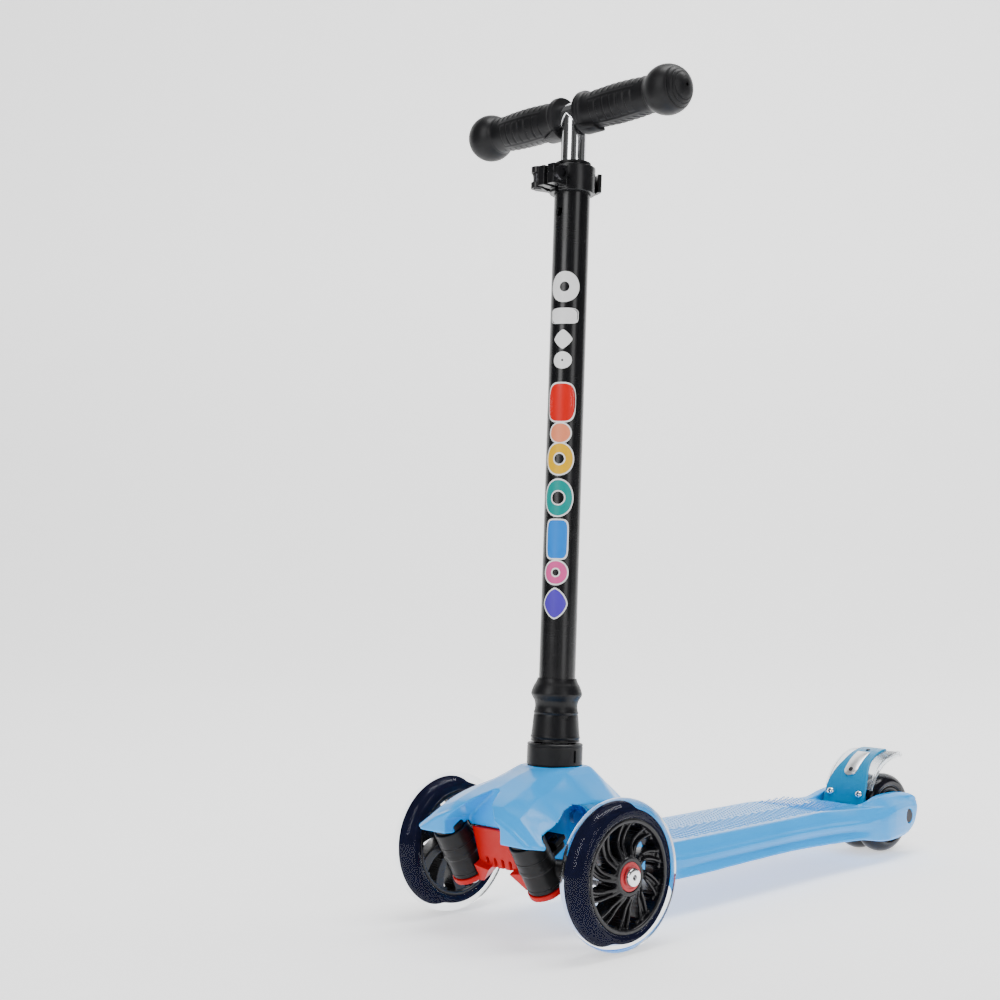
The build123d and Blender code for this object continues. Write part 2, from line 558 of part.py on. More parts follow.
def make_lever():
    """A forked cam at the barrel, and a blade that wraps round the collar."""
    lobes = rod_z(5.7, CLAMP_LOW + 2, CLAMP_S - 4, BARREL_X, EAR_Y)
    lobes += rod_z(5.7, CLAMP_S + 4, CLAMP_HIGH - 2, BARREL_X, EAR_Y)
    low, high = CLAMP_LOW + 3.5, CLAMP_HIGH - 3.5
    centre = Pos(0.6, 0.8, 0)
    blade = centre * (rod_z(24.4, low, high) - rod_z(20.9, low - 1, high + 1))
    keep = []
    for degrees in (52, 97, 142, 187, 217):
        angle = radians(degrees)
        keep.append((0.6 + 60 * cos(angle), 0.8 + 60 * sin(angle)))
    sector = Wire.make_polygon([(0.6, 0.8, low)] + [(x, y, low) for x, y in keep])
    blade &= Solid.extrude(Face(sector), Vector(0, 0, high - low))
    neck = [(-26, -20), (-19.5, -30), (-12.5, -24.5), (-18.0, -12.5), (-22, -9)]
    neck = Wire.make_polygon([(x, y, low) for x, y in neck])
    web = Solid.extrude(Face(neck), Vector(0, 0, high - low))
    web -= rod_z(20.6, low - 1, high + 1)
    lever = blade + web
    lever -= rod_z(4.5, CLAMP_S - 3.4, CLAMP_S + 3.4, BARREL_X, EAR_Y)
    for degrees in range(-150, 16, 15):
        lever -= Pos(BARREL_X, EAR_Y, CLAMP_S) * Rot(0, 0, degrees) * rod_x(3.5, 0, 30)
    lever += lobes
    lever -= block(-9.2, 5, -45, -14, low - 5, high + 5)
    lever -= rod_z(3.46, low - 5, high + 5, BARREL_X, EAR_Y)
    return lever


save("clamp_lever", on_stem(make_lever()))

POST_LOW = BUTTON_S - 14
bar = rod_x(POST_R, -BAR_HALF, BAR_HALF, 0, BAR_S)
post = rod_z(POST_R, POST_LOW, BAR_S) - rod_z(POST_BORE, POST_LOW - 5, BAR_S + 20) - bar
post -= rod_y(3.6, -30, 0, 0, BUTTON_S)
save("upper_post", on_stem(post))
foot = rod_z(TUBE_BORE - 0.08, POST_LOW - 4, BUTTON_S + 16) - rod_z(POST_R, POST_LOW, BUTTON_S + 20)
foot -= rod_z(POST_BORE - 1.5, POST_LOW - 10, POST_LOW + 1)
foot -= rod_y(3.7, -30, 0, 0, BUTTON_S)
save("post_foot", on_stem(foot))
button = rod_y(3.4, -12.9, -8.3, 0, BUTTON_S) + rod_y(3.9, -8.3, -7, 0, BUTTON_S)
save("snap_button", on_stem(button))
legs = block(-3, 3, -6.9, -6.3, BUTTON_S - 8, BUTTON_S + 40)
legs += block(-3, 3, 8.2, 8.8, BUTTON_S - 8, BUTTON_S + 40)
legs += block(-3, 3, -6.9, 8.8, BUTTON_S + 40, BUTTON_S + 40.6)
save("button_spring", on_stem(legs))

# ---- handlebar and grips ----
save("handlebar", on_stem(bar - rod_x(POST_BORE, -BAR_HALF - 1, BAR_HALF + 1, 0, BAR_S)))


def make_grip(side):
    profile = [(12, POST_R), (12, 18), (17, 18), (20, 15.6), (52, 16.6), (84, 15.4)]
    end = BALL_X + BALL_R
    for n in range(13):
        angle = radians(140 - n * 140 / 12)
        profile.append((BALL_X + BALL_R * cos(angle), BALL_R * sin(angle)))
    profile = [p for p in profile if p[0] < end - 0.01] + [(end, 0), (BAR_HALF, 0), (BAR_HALF, POST_R)]
    grip = spun_x([(side * x, r) for x, r in profile])
    skirt = rod_x(19.0, side * 12, side * 31) - rod_x(16.0, side * 10, side * 40)
    skirt &= block(-40, 40, -13, 13, -30, -5)
    grip += skirt - rod_x(POST_R, -BAR_HALF, BAR_HALF)
    grip -= rod_x(1.5, side * (end - 3), side * (end + 3))
    return Pos(0, 0, BAR_S) * grip


for name, side in SIDES.items():
    save(f"grip_{name}", on_stem(make_grip(side)))
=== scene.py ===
import json
import math
import bmesh
import bpy
from mathutils import Matrix, Vector


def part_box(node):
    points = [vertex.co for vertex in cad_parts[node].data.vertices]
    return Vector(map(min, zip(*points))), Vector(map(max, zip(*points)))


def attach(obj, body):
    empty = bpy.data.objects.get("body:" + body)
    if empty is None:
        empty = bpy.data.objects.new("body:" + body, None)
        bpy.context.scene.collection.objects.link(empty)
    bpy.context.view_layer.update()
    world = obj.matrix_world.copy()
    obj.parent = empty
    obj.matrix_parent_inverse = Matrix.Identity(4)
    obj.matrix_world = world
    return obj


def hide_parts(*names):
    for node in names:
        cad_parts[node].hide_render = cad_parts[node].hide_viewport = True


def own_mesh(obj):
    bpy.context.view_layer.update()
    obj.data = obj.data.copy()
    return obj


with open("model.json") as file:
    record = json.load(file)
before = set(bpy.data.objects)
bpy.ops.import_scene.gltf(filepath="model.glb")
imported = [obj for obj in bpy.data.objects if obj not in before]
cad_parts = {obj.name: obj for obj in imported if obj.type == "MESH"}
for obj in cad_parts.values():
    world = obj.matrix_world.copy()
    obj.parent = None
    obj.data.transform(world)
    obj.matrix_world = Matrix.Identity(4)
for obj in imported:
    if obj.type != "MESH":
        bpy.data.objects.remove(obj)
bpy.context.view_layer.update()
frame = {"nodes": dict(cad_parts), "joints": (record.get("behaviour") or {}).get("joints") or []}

# ---- Deck and nose cowl ----
# One glossy injection moulding in sky blue: a nose of two lobes with a valley between them, a waisted
# neck around the stem, a long fluted deck with ribs below, and a fork for the rear wheels behind.
# It is a shell of 3 mm, so each edge is softly rounded, and its standing surface has raised dashes.
MM = 0.001
joints = {j["name"]: j for j in frame["joints"]}


def middle(node):
    low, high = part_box(node)
    return (low + high) / 2 / MM


front_axle = middle("front_tyre_left")
rear_axle = middle("rear_tyre_left")
brake_pin = middle("brake_pin")
king = Vector(joints["steer_left"]["pos_m"]) / MM
king_up = Vector(joints["steer_left"]["axis"])
fold = Vector(joints["stem_fold"]["pos_m"]) / MM
stem_up = Vector(joints["post_height"]["axis"])
FOLD_S = 45.0
stem_base = fold - FOLD_S * stem_up
lean = math.atan2(stem_up.y, stem_up.z)
on_stem = Matrix.Translation(stem_base) @ Matrix.Rotation(-lean, 4, "X")
king_lean = math.atan2(king_up.y, king_up.z)
on_king = Matrix.Translation((0, king.y, king.z)) @ Matrix.Rotation(-king_lean, 4, "X")


def solid(name, points, faces, place=None):
    """An object from points in millimetres."""
    mesh = bpy.data.meshes.new(name)
    place = place or Matrix.Identity(4)
    mesh.from_pydata([(place @ Vector(p)) * MM for p in points], [], faces)
    made = bmesh.new()
    made.from_mesh(mesh)
    bmesh.ops.recalc_face_normals(made, faces=made.faces)
    made.to_mesh(mesh)
    made.free()
    piece = bpy.data.objects.new(name, mesh)
    bpy.context.scene.collection.objects.link(piece)
    return piece


def loft(name, rings, place=None, closed=False):
    """A skin over rings of equal length, capped at both ends or closed on itself."""
    n = len(rings[0])
    points = [p for ring in rings for p in ring]
    faces = []
    for r in range(len(rings) if closed else len(rings) - 1):
        a, b = r * n, (r + 1) % len(rings) * n
        faces += [(a + i, a + (i + 1) % n, b + (i + 1) % n, b + i) for i in range(n)]
    if not closed:
        faces += [tuple(range(n))[::-1], tuple(range(len(points) - n, len(points)))]
    return solid(name, points, faces, place)


def prism(name, outline, low, high, axis="X", place=None):
    """An outline pushed along an axis: (y, z) points for X, (x, z) for Y and (x, y) for Z."""
    put = {
        "X": lambda p, t: (t, p[0], p[1]),
        "Y": lambda p, t: (p[0], t, p[1]),
        "Z": lambda p, t: (p[0], p[1], t),
    }[axis]
    return loft(name, [[put(p, t) for p in outline] for t in (low, high)], place)


def circle(radius, sides=48, x=0.0, y=0.0):
    turns = [2 * math.pi * k / sides for k in range(sides)]
    return [(x + radius * math.cos(t), y + radius * math.sin(t)) for t in turns]


def box(name, x0, x1, y0, y1, z0, z1, place=None):
    return prism(name, [(y0, z0), (y1, z0), (y1, z1), (y0, z1)], x0, x1, "X", place)


def lathe(name, profile, centre=(0, 0, 0), axis="X", sides=96, place=None, closed=True):
    """A profile of (along, radius) points turned about an axis."""
    rings = []
    for k in range(sides):
        t = 2 * math.pi * k / sides
        c, s = math.cos(t), math.sin(t)
        if axis == "X":
            rings.append([(centre[0] + a, centre[1] + r * c, centre[2] + r * s) for a, r in profile])
        else:
            rings.append([(centre[0] + r * c, centre[1] + r * s, centre[2] + a) for a, r in profile])
    return loft(name, rings, place, closed=closed)


def bake(piece):
    """Turn the modifiers into mesh."""
    graph = bpy.context.evaluated_depsgraph_get()
    mesh = bpy.data.meshes.new_from_object(piece.evaluated_get(graph))
    piece.modifiers.clear()
    piece.data = mesh
    return piece


def carve(piece, tool, how="DIFFERENCE"):
    """Cut one solid from another, or join or intersect them, and drop the tool."""
    step = piece.modifiers.new("carve", "BOOLEAN")
    step.operation = how
    step.solver = "MANIFOLD"
    step.object = tool
    bake(piece)
    bpy.data.objects.remove(tool)
    return piece


def gather(name, parts):
    """Several meshes as one object."""
    made = bmesh.new()
    for part in parts:
        made.from_mesh(part.data)
        bpy.data.objects.remove(part)
    mesh = bpy.data.meshes.new(name)
    made.to_mesh(mesh)
    made.free()
    piece = bpy.data.objects.new(name, mesh)
    bpy.context.scene.collection.objects.link(piece)
    return piece


def mould(piece, size, rounds=4):
    """Fuse overlapping solids into one skin and round every edge, as a moulding's are."""
    step = piece.modifiers.new("fuse", "REMESH")
    step.mode = "VOXEL"
    step.voxel_size = size * MM
    step.use_smooth_shade = True
    step = piece.modifiers.new("round", "SMOOTH")
    step.factor = 0.5
    step.iterations = rounds
    return bake(piece)


def shade(piece, angle=35):
    piece.data.shade_smooth()
    made = bmesh.new()
    made.from_mesh(piece.data)
    for edge in made.edges:
        edge.smooth = len(edge.link_faces) < 2 or edge.calc_face_angle(0) < math.radians(angle)
    made.to_mesh(piece.data)
    made.free()
    return piece


def finish_piece(piece, body, look, stands_for=()):
    """Give a piece its look, its body and the CAD nodes it stands for."""
    piece.data.materials.clear()
    piece.data.materials.append(look)
    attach(piece, body)
    if stands_for:
        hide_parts(*stands_for)
    return piece


def soft_copy(name, node, size, rounds=3):
    """The moulded form of a CAD node, with its edges rounded."""
    piece = bpy.data.objects.new(name, frame["nodes"][node].data.copy())
    bpy.context.scene.collection.objects.link(piece)
    return mould(piece, size, rounds)


def surface(name, colour, rough, metal=0.0, grain=1400.0, depth=0.05, tone=0.06, stretch=(1, 1, 1),
            corner_dust_and_shade=0.25, dust_and_shade_colour=(0.45, 0.43, 0.40), scratch=0.09, **fixed):
    """A finish in layers: drifting tone, dust and painted shade in the corners, rubbed roughness with fine
    scratches, and a grain that the light catches. Concave corners blend towards the corner colour: dust where
    it is paler than the colour, painted shade where it is a darker tone of it. Stretch pulls the grain and
    scratches out along an axis."""
    look = bpy.data.materials.new(name)
    look.use_nodes = True
    nodes, links = look.node_tree.nodes, look.node_tree.links
    body = nodes["Principled BSDF"]
    where = nodes.new("ShaderNodeTexCoord")

    def noise(scale, detail, pull=(1, 1, 1)):
        place = nodes.new("ShaderNodeMapping")
        place.inputs["Scale"].default_value = pull
        links.new(where.outputs["Object"], place.inputs["Vector"])
        made = nodes.new("ShaderNodeTexNoise")
        made.inputs["Scale"].default_value = scale
        made.inputs["Detail"].default_value = detail
        links.new(place.outputs["Vector"], made.inputs["Vector"])
        return made.outputs["Fac"]

    def ranged(value, low, high, start=0.35, end=0.65):
        made = nodes.new("ShaderNodeMapRange")
        made.inputs["From Min"].default_value = start
        made.inputs["From Max"].default_value = end
        made.inputs["To Min"].default_value = low
        made.inputs["To Max"].default_value = high
        links.new(value, made.inputs["Value"])
        return made.outputs["Result"]

    def blended(amount, first, second):
        made = nodes.new("ShaderNodeMix")
        made.data_type = "RGBA"
        links.new(amount, made.inputs["Factor"])
        for socket, value in (("A", first), ("B", second)):
            target = [s for s in made.inputs if s.name == socket and s.type == "RGBA"][0]
            if isinstance(value, tuple):
                target.default_value = (*value, 1)
            else:
                links.new(value, target)
        return [s for s in made.outputs if s.type == "RGBA"][0]

    def times(first, second, kind="MULTIPLY"):
        made = nodes.new("ShaderNodeMath")
        made.operation = kind
        for socket, value in zip(made.inputs, (first, second)):
            if isinstance(value, float):
                socket.default_value = value
            else:
                links.new(value, socket)
        return made.outputs["Value"]

    deep = tuple(c * (1 - tone) for c in colour)
    pale = tuple(min(1.0, c * (1 + tone)) for c in colour)
    base = blended(ranged(noise(18.0, 3.0), 0.0, 1.0), deep, pale)
    shape = nodes.new("ShaderNodeNewGeometry")
    # Concave corners blend towards the corner colour: painted shade where that colour is a darker tone, dust
    # where it is paler.
    dust_and_shade_in_corners = ranged(shape.outputs["Pointiness"], corner_dust_and_shade, 0.0, 0.40, 0.49)
    specks = ranged(noise(260.0, 5.0), 0.2, 1.0)
    base = blended(times(dust_and_shade_in_corners, specks), base, dust_and_shade_colour)
    links.new(base, body.inputs["Base Color"])
    rubbed = ranged(noise(45.0, 4.0), rough * 0.82, min(1.0, rough * 1.22), 0.3, 0.7)
    lines = ranged(noise(240.0, 2.0, (stretch[0] * 0.12, stretch[1], stretch[2] * 6)), 0.0, scratch, 0.62,
                   0.70)
    links.new(times(rubbed, lines, "ADD"), body.inputs["Roughness"])
    bump = nodes.new("ShaderNodeBump")
    bump.inputs["Strength"].default_value = depth
    bump.inputs["Distance"].default_value = 0.0004
    links.new(noise(grain, 2.0, stretch), bump.inputs["Height"])
    links.new(bump.outputs["Normal"], body.inputs["Normal"])
    body.inputs["Metallic"].default_value = metal
    for key, value in fixed.items():
        body.inputs[key.replace("_", " ")].default_value = value
    return look


def ease(table, at):
    """Values between the rows of a table, on a curve that never overshoots."""
    keys = [row[0] for row in table]
    at = min(max(at, keys[0]), keys[-1])
    k = max(i for i in range(len(keys) - 1) if keys[i] <= at)

    def slope(i, c):
        if i in (0, len(keys) - 1):
            return 0.0 if len(keys) > 2 else (table[1][c] - table[0][c]) / (keys[1] - keys[0])
        before = (table[i][c] - table[i - 1][c]) / (keys[i] - keys[i - 1])
        after = (table[i + 1][c] - table[i][c]) / (keys[i + 1] - keys[i])
        return 0.0 if before * after <= 0 else 2 * before * after / (before + after)

    wide = keys[k + 1] - keys[k]
    t = (at - keys[k]) / wide
    values = []
    for c in range(1, len(table[0])):
        a, b = table[k][c], table[k + 1][c]
        m0, m1 = slope(k, c) * wide, slope(k + 1, c) * wide
        values.append(
            (2 * t**3 - 3 * t**2 + 1) * a + (t**3 - 2 * t**2 + t) * m0
            + (3 * t**2 - 2 * t**3) * b + (t**3 - t**2) * m1
        )
    return values


TOP = 61.0
# Behind the front axles: x, z of the lower edge, the side, the shoulder, the crown's flank, z of the crown.
HULL = [
    (-67, 62, 83, 64, 84.6, 45, 95.5, 30, 101.5, 103.5),
    (-58, 73.5, 82.6, 76, 84.6, 47, 103, 28, 110, 112),
    (-36, 69, 83, 68, 100, 41, 115, 25, 119, 121),
    (-10, 58, 75, 57, 108, 36, 122, 20, 128, 130),
    (16, 57, 62, 55, 110, 32, 129, 24, 134, 135),
    (44, 57, 46, 55, 106, 31, 128, 24, 133.5, 135),
    (60, 57, 38, 54, 96, 32, 117, 20, 124, 126),
    (90, 57, 34, 52, 73, 40, 88, 20, 97, 98),
    (116, 57, 32, 55, 50, 45, 62, 20, 64, 64.5),
    (136, 57, 32, 55, 49, 45, TOP, 20, TOP, TOP),
    (270, 54, 33, 54, 49, 45, TOP, 20, TOP, TOP),
    (340, 52, 31, 52, 47, 44, TOP, 20, TOP, TOP),
    (400, 52, 28, 52, 45, 42, 57.5, 20, 57.5, 57.5),
    (452, 53, 22, 53, 46, 47, 55, 20, 54.5, 54.5),
]


def straight(table, at):
    """Values between the rows of a table, on straight lines."""
    k = max(0, min(len(table) - 2, sum(row[0] <= at for row in table) - 1))
    t = (at - table[k][0]) / (table[k + 1][0] - table[k][0])
    return [a + (b - a) * t for a, b in zip(table[k][1:], table[k + 1][1:])]


def hull_ring(back, inset=0.0, floor=None):
    row = ease(HULL, back)
    half = [(row[0], row[1]), (row[2], row[3]), (row[4], row[5]), (row[6], row[7]), (0.0, row[8])]
    half = [(max(0.0, x - inset), z - (inset if n else 0)) for n, (x, z) in enumerate(half)]
    if floor is not None:
        half[0] = (half[0][0], floor)
    around = half + [(-x, z) for x, z in half[-2::-1]]
    run = [0.0]
    for a, b in zip(around, around[1:]):
        run.append(run[-1] + math.dist(a, b))
    table = [(r, x, z) for r, (x, z) in zip(run, around)]
    along = max(0.0, min(1.0, (back - 118) / 40, (430 - back) / 50))
    ring = []
    for k in range(81):
        x, z = straight(table, run[-1] * k / 80)
        side = math.copysign(1.0, x)
        if inset == 0.0 and along > 0:
            up = (z - row[1]) / (row[8] - row[1])
            for level, depth, width in ((0.30, 2.4, 0.11), (0.66, 1.3, 0.07), (0.05, -0.8, 0.06)):
                x -= side * depth * along * math.exp(-(((up - level) / width) ** 2))
        ring.append((x, front_axle.y + back, z))
    return ring


def bored(radius, low, high, place, x=0.0, y=0.0):
    return prism("tool", circle(radius, 48, x, y), low, high, "Z", place)


steps = [-67 + k * 3 for k in range(66)] + [132 + k * 8 for k in range(40)] + [452]
deck = loft("deck_shell", [hull_ring(b) for b in steps])
inside = loft("tool", [hull_ring(-64 + k * 4, 3.0, 5.0) for k in range(32)])
fy = front_axle.y
wall = prism("keep", [(-35.5, 60), (35.5, 60), (35.5, 98), (0, 126), (-35.5, 98)], fy - 75, fy - 36, "Y")
carve(inside, wall)
valley = [(-33, 60), (33, 60), (33, 95), (20, 106), (0, 122), (-20, 106), (-33, 95)]
carve(deck, prism("tool", valley, fy - 72, fy - 38, "Y"))
carve(deck, inside)
carve(deck, box("tool", -36, 36, fy - 45, fy - 30, 40, 88))
arch = [(-56, 40), (-56, 86), (-53, 92), (-40, 98.5), (-20, 106.5), (-6, 109.5)]
arch += [(2, 109), (8, 106), (22, 90), (34, 62), (38, 20), (-56, 20)]
arch = [(fy + y, z) for y, z in arch]
for side in (1, -1):
    carve(deck, prism("tool", arch, side * 44, side * 90))
    carve(deck, bored(16.2, -60, 23.5, on_king, side * king.x))
    carve(deck, bored(13.0, 23, 28, on_king, side * king.x))
tower = prism("tower", circle(25.0), -66, -2, "Z", on_stem)
carve(deck, tower, "UNION")
rib = [(fy + 40, 62), (fy + 40, 126), (fy + 62, 119), (fy + 92, 88), (fy + 92, 62)]
carve(deck, prism("rib", rib, -3, 3), "UNION")
carve(deck, box("floor", -55, 55, fy + 50, fy + 66, 40, 66), "UNION")
for radius, low, high in ((18.0, -70, 5), (22.0, -10, 5), (23.6, -1, 9)):
    carve(deck, bored(radius, low, high, on_stem))
rows = 7
pitch = (425 - 104) / rows
for row in range(rows):
    y0 = 104 + row * pitch + 2
    y1 = y0 + pitch - 4
    roof = TOP - max(0, y1 - 340) * 0.06 - 4
    for x0, x1 in ((-42, -17), (-13, 13), (17, 42)):
        carve(deck, box("tool", x0, x1, fy + y0, fy + y1, 10, roof))
# Behind the front axles: z of the cheek's inner top edge, x of its outer face, z of its lower edge.
CHEEK = [
    (396, 54.0, 50.5, 28.0), (424, 56.6, 51.6, 24.0), (436, 57.6, 53.2, 22.0), (446, 59.6, 54.2, 21.0),
    (458, 62.3, 53.6, 20.5), (470, 63.5, 51.8, 20.4), (484, 63.6, 49.2, 20.4), (497, 62.6, 46.6, 21.6),
    (506, 61.4, 44.8, 24.2), (513, 59.6, 43.6, 29.5), (517, 55.5, 42.4, 36.5), (519, 48.0, 41.4, 44.0),
]
for side in (1, -1):
    rings = []
    for k in range(42):
        back = 396 + 3 * k
        top, out, low = ease(CHEEK, back)
        deep = (top - low) / 43
        half = [(28.5, low), (28.5, top), (36.5, top), (41.5, top - 2.6 * deep),
                (out - 3.2, top - 8.5 * deep)]
        half += [(out - 0.6, top - 13 * deep), (out, top - 19 * deep), (out - 0.4, low + 12 * deep)]
        half += [(out - 1.6, low + 4 * deep), (out - 4.0, low)]
        rings.append([(side * x, fy + back, z) for x, z in half])
    carve(deck, loft("cheek", rings), "UNION")
    carve(deck, prism("tool", circle(7.2, 40, rear_axle.y, rear_axle.z), side * 41.5, side * 60))
carve(deck, prism("tool", circle(3.95, 32, rear_axle.y, rear_axle.z), -60, 60))
carve(deck, box("tool", -28.5, 28.5, brake_pin.y - 6.5, fy + 460, 41, 90))
carve(deck, prism("tool", circle(3.2, 24, brake_pin.y, brake_pin.z), -38, 38))
mould(deck, 0.95, 5)
# Its corners blend towards a deeper blue, a painted shade in the creases.
sky = surface("sky_blue_moulding", (0.0, 0.35, 0.88), 0.17, grain=1900, depth=0.02, tone=0.03, corner_dust_and_shade=0.05,
              dust_and_shade_colour=(0.0, 0.26, 0.52), scratch=0.03, IOR=1.45, Specular_IOR_Level=0.35)
finish_piece(deck, "deck", sky, ["deck"])

dashes = []
for row in range(46):
    back = 126 + row * 6.0
    reach = 38 - max(0, 150 - back) * 0.35
    for k in range(9):
        x = 2.5 + k * 4.6 + (row % 2) * 2.3
        if x > reach:
            continue
        bend = 3.0 * math.sin(x / 38 * math.pi)
        for side in (1, -1):
            turn = Matrix.Rotation(side * math.radians(38), 4, "Z")
            at = Matrix.Translation((side * x, fy + back + bend, TOP)) @ turn
            rings = []
            for z, grow in ((-0.5, 0.0), (0.15, 0.0), (0.35, -0.35)):
                oval = [((2.1 + grow) * math.cos(t), (0.75 + grow) * math.sin(t)) for t in
                        [2 * math.pi * n / 12 for n in range(12)]]
                rings.append([(u, v, z) for u, v in oval])
            dashes.append(loft("dash", rings, at))
grip_marks = shade(gather("deck_raised_dashes", dashes), 60)
finish_piece(grip_marks, "deck", sky)

# ---- Steering bracket and its screws ----
# A glass-filled nylon moulding in signal red, bolted up into the nose with four screws. Its slotted front
# wall shows in the valley, and its lugs above and below hold the two inclined kingpins.
# Its corners blend towards a deep red, a painted shade in the recesses.
red = surface("red_nylon", (0.48, 0.0, 0.0), 0.38, grain=1500, depth=0.05, tone=0.05, corner_dust_and_shade=0.20,
              dust_and_shade_colour=(0.16, 0.01, 0.01), Specular_IOR_Level=0.25)
bracket = soft_copy("bracket_body", "steering_bracket", 0.6, 3)
finish_piece(bracket, "deck", red, ["steering_bracket"])


def metal(name, colour, rough, stretch=(1, 1, 1), **fixed):
    # Corners blend towards a dark grey: darker than the bright metals, paler than the blackened screw.
    return surface(name, colour, rough, 1.0, grain=700, depth=0.05, tone=0.05, stretch=stretch, corner_dust_and_shade=0.5,
                   dust_and_shade_colour=(0.16, 0.15, 0.14), **fixed)


zinc = metal("zinc_plated_steel", (0.58, 0.59, 0.61), 0.30)
dark_screw = metal("blackened_screw", (0.05, 0.05, 0.055), 0.35)
for node in ("bracket_screws", "kingpin_nuts", "kingpin_left", "kingpin_right", "rear_spacers",
             "brake_pin", "fold_pin", "stem_bolt", "stem_bolt_nut", "snap_button"):
    part = frame["nodes"][node]
    part.data.materials.clear()
    part.data.materials.append(zinc)
for node in ("rear_axle", "rear_axle_nut"):
    frame["nodes"][node].data.materials.clear()
    frame["nodes"][node].data.materials.append(dark_screw)

# ---- Knuckles ----
# One for each front wheel, moulded in black nylon with a fine matt grain: a ribbed barrel that turns on the
# kingpin, an arm out to the wheel's boss, and a short arm behind with the pin for the tie rod.
black = surface("black_nylon", (0.006, 0.006, 0.007), 0.36, grain=1300, depth=0.06, tone=0.18, corner_dust_and_shade=0.30,
                dust_and_shade_colour=(0.03, 0.03, 0.03), Specular_IOR_Level=0.25)
for name, side in (("left", 1), ("right", -1)):
    knuckle = soft_copy(f"knuckle_{name}_body", f"knuckle_{name}", 0.6, 3)
    ribs = []
    for low in (-17.6, 8.5):
        ring = [(low, 14.2), (low, 15.05), (low + 0.3, 15.3), (low + 0.9, 15.3), (low + 1.2, 15.05),
                (low + 1.2, 14.2)]
        ribs.append(lathe("rib", ring, (side * king.x, 0, 0), "Z", 72, on_king))
    finish_piece(knuckle, f"knuckle_{name}", black, [f"knuckle_{name}"])
    finish_piece(shade(gather(f"knuckle_{name}_ribs", ribs)), f"knuckle_{name}", black)
    cap = [(23.3, 7.2), (23.3, 12.6), (23.7, 12.95), (27.3, 12.95), (27.9, 12.3), (27.9, 7.2)]
    cap = lathe(f"kingpin_cap_{name}", cap, (side * king.x, 0, 0), "Z", 72, on_king)
    finish_piece(shade(cap), "deck", black)

# ---- Tie rod and centring springs ----
# A flat nylon bar joins the two knuckle arms behind the barrels. Two oil-tempered coil springs sit between
# its lugs and a fixed tab, and bring the wheels back to straight ahead.
rod = soft_copy("tie_rod_bar", "tie_rod", 0.5, 2)
finish_piece(rod, "tie_rod", black, ["tie_rod"])
spring_steel = metal("spring_steel", (0.36, 0.35, 0.34), 0.28)


def coil(name, points, wire, sides=8):
    """A round wire along a path."""
    rings = []
    for k, p in enumerate(points):
        ahead = Vector(points[min(k + 1, len(points) - 1)]) - Vector(points[max(k - 1, 0)])
        turn = ahead.to_track_quat("Z", "Y")
        rings.append([Vector(p) + turn @ Vector((wire * math.cos(t), wire * math.sin(t), 0)) for t in
                      [2 * math.pi * n / sides for n in range(sides)]])
    return loft(name, rings)


def helix(radius, turns, low, high, put, start=0.0):
    """Points of a coil whose ends lie flat, from low to high."""
    count = int(turns * 20)
    points = []
    for k in range(count + 1):
        t = k / count
        flat = min(1.0, max(0.0, (t * turns - 0.8) / (turns - 1.6)))
        angle = start + 2 * math.pi * turns * t
        points.append(put(low + (high - low) * flat, radius * math.cos(angle), radius * math.sin(angle)))
    return points


INNER_END = 2.7
for name, side in (("left", 1), ("right", -1)):
    path = helix(4.35, 7, side * INNER_END, side * 27.8,
                 lambda a, c, s: tuple(on_king @ Vector((a, 26 + c, 14 + s))))
    spring = shade(coil(f"centring_coil_{name}", path, 0.6), 60)
    finish_piece(spring, "deck", spring_steel, [f"centring_spring_{name}"])
    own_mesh(spring)

# ---- Front wheels ----
# Cast clear polyurethane over a smoked ring that holds the lights, on a black nylon hub. The hub is dished,
# with ten pairs of swept ribs between its boss and its rim; the pairs are joined by a thin web.
clear = surface("clear_polyurethane", (0.93, 0.95, 0.97), 0.05, grain=120, depth=0.002, tone=0.02, corner_dust_and_shade=0.03,
                dust_and_shade_colour=(0.6, 0.6, 0.6), scratch=0.0, Transmission_Weight=1.0, IOR=1.18)
# The ring's weak blue emission is a painted glow that lifts the dark ring towards navy.
navy_with_painted_glow = surface("smoked_light_ring", (0.004, 0.005, 0.016), 0.35, grain=300, depth=0.01, tone=0.12, corner_dust_and_shade=0.05,
               dust_and_shade_colour=(0.02, 0.02, 0.04), scratch=0.0, Specular_IOR_Level=0.0,
               Emission_Color=(0.40, 0.42, 1.0, 1.0), Emission_Strength=0.010)
gloss_black = surface("black_hub_nylon", (0.006, 0.006, 0.008), 0.22, grain=1500, depth=0.03, tone=0.2,
                      corner_dust_and_shade=0.25, dust_and_shade_colour=(0.03, 0.03, 0.035), Specular_IOR_Level=0.4)
# The seal's corners blend towards a deeper red, a painted shade in its creases.
seal_red = surface("red_seal_rubber", (0.50, 0.012, 0.020), 0.38, grain=1600, depth=0.06, tone=0.08,
                   corner_dust_and_shade=0.4, dust_and_shade_colour=(0.12, 0.02, 0.02))
silver = metal("polished_steel", (0.80, 0.80, 0.82), 0.16)
RIBS = 10
SWEEP = 0.42


def swept_rib(angle, sweep, inner, outer, half, front, back):
    """A thin wall that leaves the boss at an angle and sweeps round as it runs out to the rim."""
    rings = []
    for k in range(9):
        t = k / 8
        r = inner + (outer - inner) * t
        turn = angle - sweep * t**1.2
        out = Vector((0, math.cos(turn), math.sin(turn)))
        across = Vector((0, -math.sin(turn), math.cos(turn)))
        face = front(r)
        corners = ((back, -half), (face - 0.6, -half), (face, -half + 0.6), (face, half - 0.6),
                   (face - 0.6, half), (back, half))
        rings.append([Vector((x, 0, 0)) + out * r + across * w for x, w in corners])
    return loft("rib", rings)


def dish(r):
    """How far out the ribs' front edges stand at a radius: deep in the middle of the spokes."""
    return ease([(13, 11.4), (17, 10.2), (28, 5.6), (38, 6.2), (43, 8.0)], r)[0]


